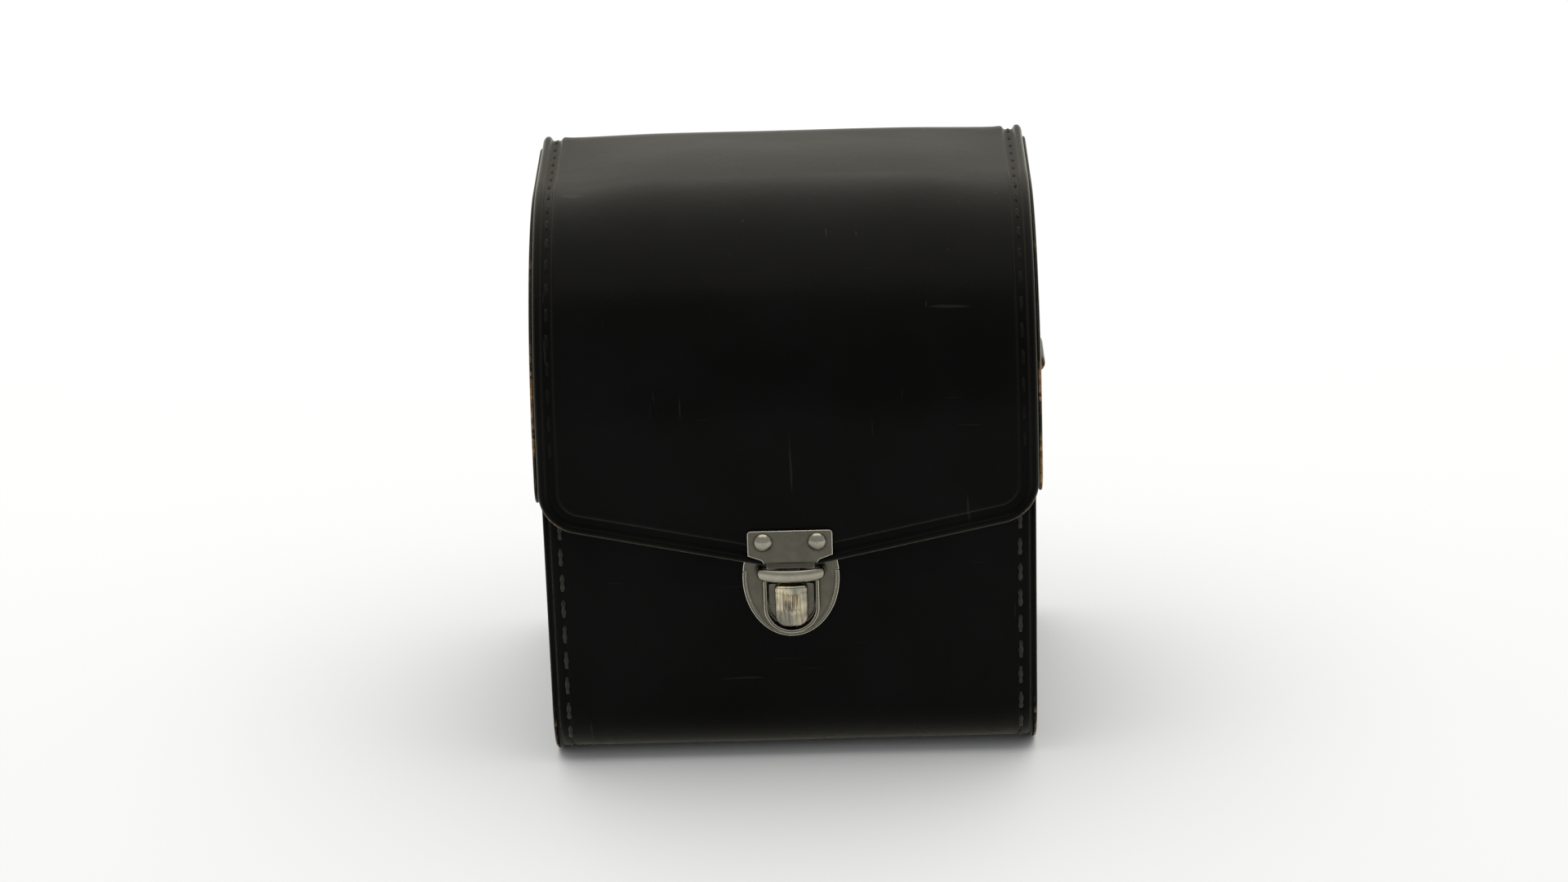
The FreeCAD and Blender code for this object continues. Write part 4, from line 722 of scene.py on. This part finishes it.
def make_body_wrap():
    """Front, bottom and back of the body in one strip, with the pressed seam lines."""
    s = sizes()
    line = body_line(0, s.front_height, frame_place()["back_top"], s.rim_drop, s.bottom_radius)
    half = wrap_base_half()
    radius = 1.2 * MM
    outline = [(-half, 0, radius), (half, 0, radius), (half, line.length, radius),
               (-half, line.length, radius)]
    insets = [inset * MM for inset in (0.8, 1.1, 1.4, 1.7, 2.0, 2.3, 2.6, 2.9, 3.3, 4.2, 6, 9)]
    rings = rounded_rings(s.wrap_leather, 0.6 * MM, insets)

    def surface(a, b, inset, height, outer):
        pressed = 0.28 * MM * np.exp(-((inset - s.seam_inset) / (0.55 * MM)) ** 2)
        ends = smooth(b, 0, 3 * MM) * (1 - smooth(b, line.length - 3 * MM, line.length))
        relief = ripple(a, b, 0.1 * MM) * smooth(inset, 4 * MM, 9 * MM) - pressed * ends
        y, z, away = line.at(b, height + np.where(outer, relief, 0))
        x = a * (1 + lean() * z / half)
        edge = np.exp(-(inset / (0.7 * MM)) ** 2) * outer
        turn = np.exp(-((b - (s.front_height - s.rim_drop)) / (7 * MM)) ** 2)
        return x, y, z, np.maximum(edge * 0.15, 0.1 * turn * outer)

    piece = sheet_mesh("wrap_leather", outline, (90, 260), rings, surface, BODY, "black_leather")
    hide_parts("body_wrap")


def make_side_panels():
    """Body's sides with their standing rims, and the border turned in behind the wrap."""
    s = sizes()
    place = frame_place()
    corner = s.bottom_radius + s.rim_drop
    back_top = place["back_top"]
    outline = [(place["front"], 0, corner), (place["back"], 0, corner),
               (place["back"], back_top, 2 * MM), (place["front"], s.front_height, 2 * MM)]
    insets = [inset * MM for inset in (1.2, 1.7, 2.5, 4.0, 6.0, 8.0)]
    rings = rounded_rings(s.side_leather, 0.75 * MM, insets)
    inset_border = s.wrap_leather + s.seam_gap
    border = body_line(inset_border, s.front_height - 2 * MM, back_top - 2 * MM,
                       s.rim_drop + inset_border, s.bottom_radius - inset_border)
    for side, hand in HANDS:
        def surface(a, b, inset, height, outer):
            lump = ripple(a, b, 0.12 * MM) * smooth(inset, 1 * MM, 8 * MM)
            x, y, z = on_side(hand, height + np.where(outer, lump - 0.1 * MM, 0), a, b)
            edge = np.exp(-(inset / (1.1 * MM)) ** 2) * outer
            low_corner = np.exp(-((b - 4 * MM) / (9 * MM)) ** 2)
            return x, y, z, edge * (0.14 + 0.4 * low_corner)

        piece = sheet_mesh("side_leather_" + side, outline, (110, 90), rings, surface, BODY,
                           "black_leather")
        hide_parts("side_panel_" + side)
        bent_strip("side_border_" + side, border, -(s.side_leather * 0.8 + s.flange_width),
                   -s.side_leather * 0.8, s.side_leather, BODY, "black_leather",
                   along=130, across=8, leaning=hand)


def make_hinge_leather():
    """One strip over the fold, glued to the body below and to the lid above."""
    s = sizes()
    low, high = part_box("hinge_strip_lower")
    upper_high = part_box("hinge_strip_upper")[1]
    half = high.x
    line = BentLine([(low.y + 1.4 * MM, low.z), (low.y + 1.4 * MM, s.fold_height, 5 * MM),
                     (low.y + 1.401 * MM, upper_high.z)])
    corners = [(-half, 0, 2 * MM), (half, 0, 2 * MM), (half, line.length, 2 * MM),
               (-half, line.length, 2 * MM)]
    rings = rounded_rings(1.35 * MM, 0.5 * MM, [0.9 * MM, 1.5 * MM, 2.2 * MM, 3 * MM])
    fold = s.fold_height - low.z

    def surface(a, b, inset, height, outer):
        crease = 0.75 * MM * np.exp(-((b - fold) / (1.5 * MM)) ** 2)
        stitched = 0.2 * MM * np.exp(-((inset - 2 * MM) / (0.5 * MM)) ** 2)
        y, z, away = line.at(b, height + np.where(outer, crease - stitched, crease * 0.6))
        wear = 0.3 * np.exp(-((b - fold) / (1.2 * MM)) ** 2) * outer
        return a, y, z, np.maximum(wear, 0.12 * np.exp(-(inset / (0.6 * MM)) ** 2))

    piece = sheet_mesh("hinge_leather", corners, (70, 46), rings, surface, None,
                       "black_leather")
    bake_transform(piece)
    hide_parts("hinge_strip_lower", "hinge_strip_upper")


def make_linings():
    """Velvet on every inner face."""
    s = sizes()
    place = frame_place()
    low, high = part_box("body_lining")
    corner = s.bottom_radius - s.wrap_leather - s.seam_gap - 2 * MM
    strip = BentLine([(low.y, s.front_height - 1 * MM), (low.y, low.z, corner),
                      (high.y, low.z, corner), (high.y, high.z)])
    lining_strip("body_velvet", strip, low.x, high.x, BODY, "body_lining")
    low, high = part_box("lid_lining")
    over = lid_line(s.flap_leather + s.seam_gap, low.z, s.fold_height + s.fold_gap + 1 * MM)
    lining_strip("lid_velvet", over, low.x, high.x, LID, "lid_lining")
    for side, hand in HANDS:
        low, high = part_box("side_lining_" + side)
        radius = s.bottom_radius - s.wrap_leather - s.side_leather
        outline = [(low.y, low.z, radius), (high.y, low.z, radius), (high.y, high.z, 1 * MM),
                   (low.y, s.front_height - s.lining_cloth, 1 * MM)]
        piece = flat_velvet("side_velvet_" + side, outline, hand, BODY, -s.side_leather - s.seam_gap / 2)
        declare_lining(outline, "side_lining_" + side)
        low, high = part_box("lid_side_lining_" + side)
        inner = s.flap_leather + s.lid_side_leather + 2 * s.seam_gap
        back_radius = place["top"] - s.fold_height - s.back_wall - inner
        front_radius = place["top"] - s.arch_height - inner
        outline = [(low.y, s.front_height + 3 * MM, 1 * MM), (high.y, s.fold_height + 4.5 * MM, 1 * MM),
                   (high.y, high.z, back_radius), (low.y, high.z, front_radius)]
        piece = flat_velvet("lid_side_velvet_" + side, outline, hand, LID, None)
        declare_lining(outline, "lid_side_lining_" + side)


def lining_strip(name, line, low, high, body, node):
    """Lining of a bent wall, in one strip."""
    piece = bent_strip(name, line, low, high, sizes().lining_cloth, body, "velvet_pile",
                       along=150, across=60, lump=0.12 * MM)
    cut = [(low, 0, 0.4 * MM), (high, 0, 0.4 * MM), (high, line.length, 0.4 * MM),
           (low, line.length, 0.4 * MM)]
    declare_lining(cut, node)


def declare_lining(outline, node):
    """Work out the cloth's cut outline, which nothing uses, and hide the CAD lining node."""
    cut = four_sides(outline, 60, 60)
    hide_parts(node)


def flat_velvet(name, outline, hand, body, out):
    """Lining of a side wall; out is its place on the leaning panel, or None on the upright lid."""
    s = sizes()
    cloth = s.lining_cloth
    face = frame_place()["flap_half"] + s.seam_gap / 2
    rings = rounded_rings(cloth, cloth * 0.4, [cloth, cloth * 2])

    def surface(a, b, inset, height, outer):
        away = height + np.where(outer, 0, ripple(a, b, 0.1 * MM))
        if out is None:
            return hand * (face + away), a, b, np.zeros_like(a)
        x, y, z = on_side(hand, out + away, a, b)
        return x, y, z, np.zeros_like(a)

    return sheet_mesh(name, outline, (60, 50), rings, surface, body, "velvet_pile")


def make_strap_tabs():
    """Tabs folded round the ring's bar and riveted to the sides."""
    s = sizes()
    for side, hand in HANDS:
        low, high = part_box("strap_tab_" + side)
        middle = (low.y + high.y) / 2
        thick = s.tab_leather
        bore = s.ring_wire / 2 + 0.3 * MM
        loop_height = high.z - bore - thick
        skin = 0.03 * MM + thick
        out = 2 * thick + s.ring_wire / 2 + 0.2 * MM
        line = BentLine([(skin, low.z), (skin, loop_height - 3.4 * MM, 1.5 * MM),
                         (out - bore, loop_height - 0.9 * MM, 1.2 * MM),
                         (out - bore, loop_height + bore, bore),
                         (out + bore, loop_height + bore, bore),
                         (out + bore, loop_height - 0.9 * MM, 1.2 * MM),
                         (skin + 0.03 * MM, loop_height - 3.9 * MM, 1.5 * MM),
                         (skin + 0.03 * MM, low.z)])
        half = s.tab_width / 2
        outline = [(-half, 0, 0.8 * MM), (half, 0, 0.8 * MM), (half, line.length, 0.8 * MM),
                   (-half, line.length, 0.8 * MM)]
        rings = rounded_rings(thick, 0.3 * MM, [0.6 * MM, 1.0 * MM, 1.4 * MM, 1.8 * MM, 2.4 * MM])

        def surface(a, b, inset, height, outer):
            spot, z, away = line.at(b, -height - thick)
            x, y, z = on_side(hand, spot, middle + a, z)
            edge = np.exp(-(inset / (0.5 * MM)) ** 2)
            loop = np.exp(-((z - loop_height) / (3 * MM)) ** 2)
            return x, y, z, edge * (0.2 + 0.5 * loop)

        piece = sheet_mesh("tab_leather_" + side, outline, (22, 150), rings, surface, BODY,
                           "black_leather")
        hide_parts("strap_tab_" + side)


# Stitching

def stitch_rows(name, line, across, first, body, sink, finish):
    """A row of saddle stitches: two-ply thread whose ends dip into their holes."""
    s = sizes()
    count = int((line.length - first * 2) / s.stitch_pitch)
    start = (line.length - count * s.stitch_pitch) / 2
    steps = 13
    round_steps = 10
    along = np.linspace(-1, 1, steps)
    turns = np.linspace(0, 2 * math.pi, round_steps, endpoint=False)
    points = []
    faces = []
    for number in range(count):
        middle = start + (number + 0.5) * s.stitch_pitch
        places = middle + along * s.stitch_length / 2
        dip = s.thread_size * (0.34 - 1.05 * np.abs(along) ** 5) - sink
        y, z, away = line.at(places, dip)
        x = across(z) + 0.05 * MM * math.sin(number * 2.4) * np.ones(steps)
        base = number * steps * round_steps
        for step in range(steps):
            radius = s.thread_size / 2 * (1 - 0.35 * abs(along[step]) ** 6)
            twist = 1 + 0.16 * np.cos(2 * turns + along[step] * 7 + number)
            side_way = np.cos(turns) * radius * twist
            up_way = np.sin(turns) * radius * twist
            ring = np.stack([x[step] + side_way, y[step] + away[step, 0] * up_way,
                             z[step] + away[step, 1] * up_way], axis=1)
            points.append(ring)
        faces += tube_faces(base, steps, round_steps)
    piece = new_piece(name, np.concatenate(points), faces, body, finish)
    return piece


def make_stitching():
    """Saddle stitches beside the body's edges and in the lid's channel."""
    s = sizes()
    place = frame_place()
    wall = body_line(0, s.front_height - s.seam_inset, place["back_top"] - s.seam_inset, s.rim_drop,
                     s.bottom_radius)
    over = lid_line(0, s.corner_height + s.corner_radius + 1 * MM, s.fold_height + s.fold_gap + 9 * MM)
    seam = wrap_base_half() - s.seam_inset
    channel = place["flap_half"] - s.bead_width - s.channel_width / 2
    for side, hand in HANDS:
        piece = stitch_rows("wall_stitches_" + side, wall, lambda z: hand * (seam + lean() * z),
                            s.stitch_pitch / 2, BODY, 0.35 * MM, "waxed_thread")
        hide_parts("body_stitching_" + side)
        piece = stitch_rows("arch_stitches_" + side, over, lambda z: hand * channel + 0 * z,
                            s.stitch_pitch / 2, LID, s.channel_depth + 0.45 * MM,
                            "black_thread")
        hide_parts("lid_stitching_" + side)


# Catch

def make_keeper_bar():
    """Rounded bar, bowed forward, with its ends turned back to the plate."""
    low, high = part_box("keeper_bar")
    thick = 0.62 * MM
    tall = (high.z - low.z) / 2
    end = high.x - thick
    turn = np.linspace(-1, 1, 41)
    bow = np.stack([turn * end, low.y + thick + 2.1 * MM * np.abs(turn) ** 2.2], axis=1)
    path = [(-end, high.y)] + [tuple(spot) for spot in bow] + [(end, high.y)]
    path = along_line(path, 121)
    for softening in range(14):
        path[1:-1] = (path[:-2] + 2 * path[1:-1] + path[2:]) / 4
    heading = unit(np.gradient(path, axis=0))
    round_steps = 20
    around = np.linspace(0, 2 * math.pi, round_steps, endpoint=False)
    taper = tall * (1 - 0.16 * np.abs(path[:, 0] / high.x) ** 4)
    side = thick * np.cos(around)
    x = path[:, :1] + heading[:, 1:] * side
    y = path[:, 1:] - heading[:, :1] * side
    z = (low.z + high.z) / 2 + taper[:, None] * np.sin(around)
    points = np.stack([x, y, z], axis=2).reshape(-1, 3)
    piece = new_piece("bar_metal", points, tube_faces(0, len(path), round_steps), BODY,
                      "bright_nickel")
    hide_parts("keeper_bar")


def make_hasp_bend():
    """Swelling above the bar where the hasp's tongue is bent."""
    low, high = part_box("hasp_plate")
    half = 5.6 * MM
    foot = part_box("keeper_bar")[1].z + 0.15 * MM
    tall = 2.6 * MM
    outline = [(-half, 0, 0.3 * MM), (half, 0, 0.3 * MM), (half, tall, 0.3 * MM),
               (-half, tall, 0.3 * MM)]
    rings = rounded_rings(0.5 * MM, 0.2 * MM, [0.3 * MM])

    def surface(a, b, inset, height, outer):
        swell = 0.85 * MM * (1 - smooth(b, 0.1 * MM, 2.3 * MM))
        return a, low.y + 0.52 * MM - height - swell, foot + b, np.zeros_like(a)

    # The bend takes the plates' nickel, darkened as painted shade.
    sheet_mesh("hasp_bend", outline, (24, 18), rings, surface, LID, "shaded_nickel")


def make_thumb_rest():
    """Thumb rest with its lip and ribs, and the stem and plate behind it."""
    low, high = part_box("thumb_slide")
    rib = 0.4 * MM
    face = low.y + rib
    depth = 3.24 * MM - rib
    half = 3.8 * MM
    tall = high.z - low.z
    outline = [(-half, 0, 2.6 * MM), (half, 0, 2.6 * MM), (half, tall, 0.9 * MM),
               (-half, tall, 0.9 * MM)]
    rings = rounded_rings(depth, 0.55 * MM, [0.7 * MM, 0.9 * MM, 1.2 * MM])

    def surface(a, b, inset, height, outer):
        toe = -1.5 * MM * (1 - smooth(b, -1 * MM, 5.5 * MM))
        lip = 0.22 * MM * smooth(b, tall - 2.0 * MM, tall - 1.3 * MM)
        reach = smooth(b, 4.2 * MM, 5.0 * MM) * (1 - smooth(b, tall - 2.2 * MM, tall - 1.5 * MM))
        ribs = rib * (0.5 + 0.5 * np.cos(a * 2 * math.pi / (0.85 * MM))) * (np.abs(a) < 2.12 * MM)
        relief = toe + lip + ribs * reach - 0.5 * MM * (a / half) ** 2
        return a, face - height - np.where(outer, relief, 0), low.z + b, np.zeros_like(a)

    piece = sheet_mesh("thumb_rest", outline, (90, 60), rings, surface, "thumb_slide",
                       "worn_nickel")
    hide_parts("thumb_slide")
    # The stem and guide take the shaded nickel, its darkness painted shade, so they read dark inside the
    # housing.
    blocks = (("slide_stem", 2.6 * MM, face + depth - 0.1 * MM, 1.75 * MM),
              ("slide_guide", high.x, high.y - 0.9 * MM, 0.9 * MM))
    for name, reach, front, thick in blocks:
        foot = low.z + 4.5 * MM
        block = [(-reach, 0, 0.4 * MM), (reach, 0, 0.4 * MM), (reach, 5.2 * MM, 0.4 * MM),
                 (-reach, 5.2 * MM, 0.4 * MM)]

        def flat(a, b, inset, height, outer):
            return a, front - height, foot + b, np.zeros_like(a)

        sheet_mesh(name, block, (6, 6), rounded_rings(thick, 0.15 * MM, [0.5 * MM]), flat,
                   "thumb_slide", "shaded_nickel")


def make_slide_spring():
    """Coil spring under the slide."""
    low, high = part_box("slide_spring")
    wire = 0.175 * MM
    turns = 5
    angle = np.linspace(0, 2 * math.pi * turns, 20 * turns + 1)
    around = np.linspace(0, 2 * math.pi, 8, endpoint=False)
    out = (high.x - low.x) / 2 - wire + wire * np.cos(around)
    climb = np.linspace(low.z + wire, high.z - wire, len(angle))
    x = np.cos(angle)[:, None] * out
    y = (low.y + high.y) / 2 + np.sin(angle)[:, None] * out
    z = climb[:, None] + wire * np.sin(around)
    points = np.stack([x, y, z], axis=2).reshape(-1, 3)
    piece = new_piece("spring_coil", points, tube_faces(0, len(angle), len(around)), None,
                      "plain_steel")
    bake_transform(piece)
    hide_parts("slide_spring")


# Metal and board that keep their CAD shapes

# These plates take the shaded nickel: nickel darkened as painted shade for the dark reflection of their
# flat faces.
SHADED_NICKEL_NODES = ("catch_plate", "catch_housing", "hasp_plate")
BRIGHT_NODES = ("hasp_rivets", "strap_ring_left", "strap_ring_right", "tab_rivet_left",
                "tab_rivet_right", "retaining_screw")
STEEL_NODES = ("screw_plate", "screw_clip", "latch_leaf", "catch_backing",
               "hasp_backing", "tab_washer_left", "tab_washer_right")
BOARD_NODES = ("sole_board",)


def finish_nodes(names, finish):
    for name in names:
        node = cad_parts[name]
        node.data.materials.clear()
        node.data.materials.append(bpy.data.materials[finish])


# Stage

def point_camera():
    """Stand the camera where the photograph was taken."""
    target = Vector((-1.37, 0, 62.3)) * MM
    distance = 1.28
    raised = math.radians(18.95)
    turned = math.radians(0.76)
    roll = math.radians(-1.71)
    back = Vector((math.sin(turned) * math.cos(raised), -math.cos(turned) * math.cos(raised),
                   math.sin(raised)))
    right = (-back).cross(Vector((0, 0, 1))).normalized()
    up = right.cross(-back)
    across = right * math.cos(roll) + up * math.sin(roll)
    upward = -right * math.sin(roll) + up * math.cos(roll)
    data = bpy.data.cameras.new("photo_camera")
    data.sensor_width = 36
    data.lens = 122.5
    data.clip_start = 0.05
    camera = bpy.data.objects.new("photo_camera", data)
    bpy.context.scene.collection.objects.link(camera)
    turn = Matrix((across, upward, back)).transposed().to_4x4()
    camera.matrix_world = Matrix.Translation(target + back * distance) @ turn
    bpy.context.scene.camera = camera


def add_lamp(name, place, target, size, power):
    data = bpy.data.lights.new(name, "AREA")
    data.shape = "RECTANGLE"
    data.size, data.size_y = size
    data.energy = power
    data.color = (1, 0.98, 0.91)
    lamp = bpy.data.objects.new(name, data)
    bpy.context.scene.collection.objects.link(lamp)
    lamp.location = place
    lamp.rotation_euler = (Vector(place) - Vector(target)).to_track_quat("Z", "Y").to_euler()


def make_stage():
    """Pale floor, white surroundings, one soft lamp and the camera."""
    scene = bpy.context.scene
    mesh = bpy.data.meshes.new("floor")
    reach = 6.0
    mesh.from_pydata([(-reach, -reach, 0), (reach, -reach, 0), (reach, reach, 0), (-reach, reach, 0)],
                     [], [(0, 1, 2, 3)])
    floor = bpy.data.objects.new("floor", mesh)
    scene.collection.objects.link(floor)
    s = Shader("studio_floor")
    s.surface.inputs["Base Color"].default_value = (*colours().floor, 1)
    s.surface.inputs["Roughness"].default_value = 0.9
    s.surface.inputs["Specular IOR Level"].default_value = 0.1
    mesh.materials.append(s.material)
    world = bpy.data.worlds.new("studio")
    world.use_nodes = True
    scene.world = world
    background = world.node_tree.nodes["Background"]
    background.inputs["Color"].default_value = (1, 1, 1, 1)
    background.inputs["Strength"].default_value = 0.5
    add_lamp("top_softbox", (0, 0.95, 1.35), (0, 0.95, 0), (1.8, 3.2), 26)
    scene.view_settings.view_transform = "Standard"
    point_camera()


# The add-on's operators, panel and registration

class CaseFinishes(bpy.types.Operator):
    """Make the leather, thread, lining, metal and board finishes"""
    bl_idname = "camera_case.finishes"
    bl_label = "Finishes"

    def execute(self, context):
        c = colours()
        leather_finish()
        thread_finish("waxed_thread", c.thread, 0.3)
        thread_finish("black_thread", shade(c.thread, 0.25), 0.08)
        velvet_finish()
        metal_finish("bright_nickel", c.nickel, 0.7, 0.16, 0.28)
        # Plates: nickel darkened as painted shade, with a painted highlight twice as bright as the
        # nickel on their edges.
        metal_finish("shaded_nickel", c.shaded_nickel, 0.7, 0.18, 0.3, edge=shade(c.nickel, 2.0))
        metal_finish("worn_nickel", c.nickel, 0.6, 0.16, 0.28, worn=c.brass)
        metal_finish("plain_steel", c.steel, 0.6, 0.3, 0.5)
        board_finish()
        return {"FINISHED"}


class CaseFlap(bpy.types.Operator):
    """Make the lid's top and front"""
    bl_idname = "camera_case.flap"
    bl_label = "Flap"

    def execute(self, context):
        make_lid_flap()
        return {"FINISHED"}


class CaseLidSides(bpy.types.Operator):
    """Make the lid's side walls and their turned-in borders"""
    bl_idname = "camera_case.lid_sides"
    bl_label = "Lid sides"

    def execute(self, context):
        make_lid_sides()
        return {"FINISHED"}


class CaseWrap(bpy.types.Operator):
    """Make the body's front, bottom and back"""
    bl_idname = "camera_case.wrap"
    bl_label = "Body wrap"

    def execute(self, context):
        make_body_wrap()
        return {"FINISHED"}


class CaseSidePanels(bpy.types.Operator):
    """Make the body's sides and their turned-in borders"""
    bl_idname = "camera_case.side_panels"
    bl_label = "Side panels"

    def execute(self, context):
        make_side_panels()
        return {"FINISHED"}


class CaseHinge(bpy.types.Operator):
    """Make the leather strip over the fold"""
    bl_idname = "camera_case.hinge"
    bl_label = "Hinge leather"

    def execute(self, context):
        make_hinge_leather()
        return {"FINISHED"}


class CaseLinings(bpy.types.Operator):
    """Make the velvet linings"""
    bl_idname = "camera_case.linings"
    bl_label = "Linings"

    def execute(self, context):
        make_linings()
        return {"FINISHED"}


class CaseTabs(bpy.types.Operator):
    """Make the strap tabs"""
    bl_idname = "camera_case.tabs"
    bl_label = "Strap tabs"

    def execute(self, context):
        make_strap_tabs()
        return {"FINISHED"}


class CaseStitching(bpy.types.Operator):
    """Make the saddle stitches"""
    bl_idname = "camera_case.stitching"
    bl_label = "Stitching"

    def execute(self, context):
        make_stitching()
        return {"FINISHED"}


class CaseCatch(bpy.types.Operator):
    """Make the catch's bar and its thumb rest"""
    bl_idname = "camera_case.catch"
    bl_label = "Catch"

    def execute(self, context):
        make_keeper_bar()
        make_thumb_rest()
        make_slide_spring()
        make_hasp_bend()
        return {"FINISHED"}


class CaseMetal(bpy.types.Operator):
    """Give the catch, rings, screw, backings and board their finishes"""
    bl_idname = "camera_case.metal"
    bl_label = "Metal and board"

    def execute(self, context):
        finish_nodes(SHADED_NICKEL_NODES, "shaded_nickel")
        finish_nodes(BRIGHT_NODES, "bright_nickel")
        finish_nodes(STEEL_NODES, "plain_steel")
        finish_nodes(BOARD_NODES, "fibre_board")
        return {"FINISHED"}


class CaseStage(bpy.types.Operator):
    """Make the floor, surroundings, lamp and camera"""
    bl_idname = "camera_case.stage"
    bl_label = "Stage"

    def execute(self, context):
        make_stage()
        return {"FINISHED"}


class CasePanel(bpy.types.Panel):
    """The case's pieces, sizes and colours"""
    bl_idname = "VIEW3D_PT_camera_case"
    bl_label = "Camera case"
    bl_space_type = "VIEW_3D"
    bl_region_type = "UI"
    bl_category = "Camera case"

    def draw(self, context):
        for maker in OPERATORS:
            self.layout.operator(maker.bl_idname)
        for group in (context.scene.case_sizes, context.scene.case_colours):
            box = self.layout.box()
            for name in group.__annotations__:
                box.prop(group, name)


OPERATORS = (CaseFinishes, CaseFlap, CaseLidSides, CaseWrap, CaseSidePanels, CaseHinge, CaseLinings,
             CaseTabs, CaseStitching, CaseCatch, CaseMetal, CaseStage)
CLASSES = (CaseSizes, CaseColours) + OPERATORS + (CasePanel,)


def register():
    for cls in CLASSES:
        bpy.utils.register_class(cls)
    bpy.types.Scene.case_sizes = bpy.props.PointerProperty(type=CaseSizes)
    bpy.types.Scene.case_colours = bpy.props.PointerProperty(type=CaseColours)


def unregister():
    del bpy.types.Scene.case_colours
    del bpy.types.Scene.case_sizes
    for cls in reversed(CLASSES):
        bpy.utils.unregister_class(cls)


def main():
    register()
    for name in ("finishes", "flap", "lid_sides", "wrap", "side_panels", "hinge", "linings", "tabs",
                 "stitching", "catch", "metal", "stage"):
        getattr(bpy.ops.camera_case, name)()


if __name__ == "__main__":
    main()
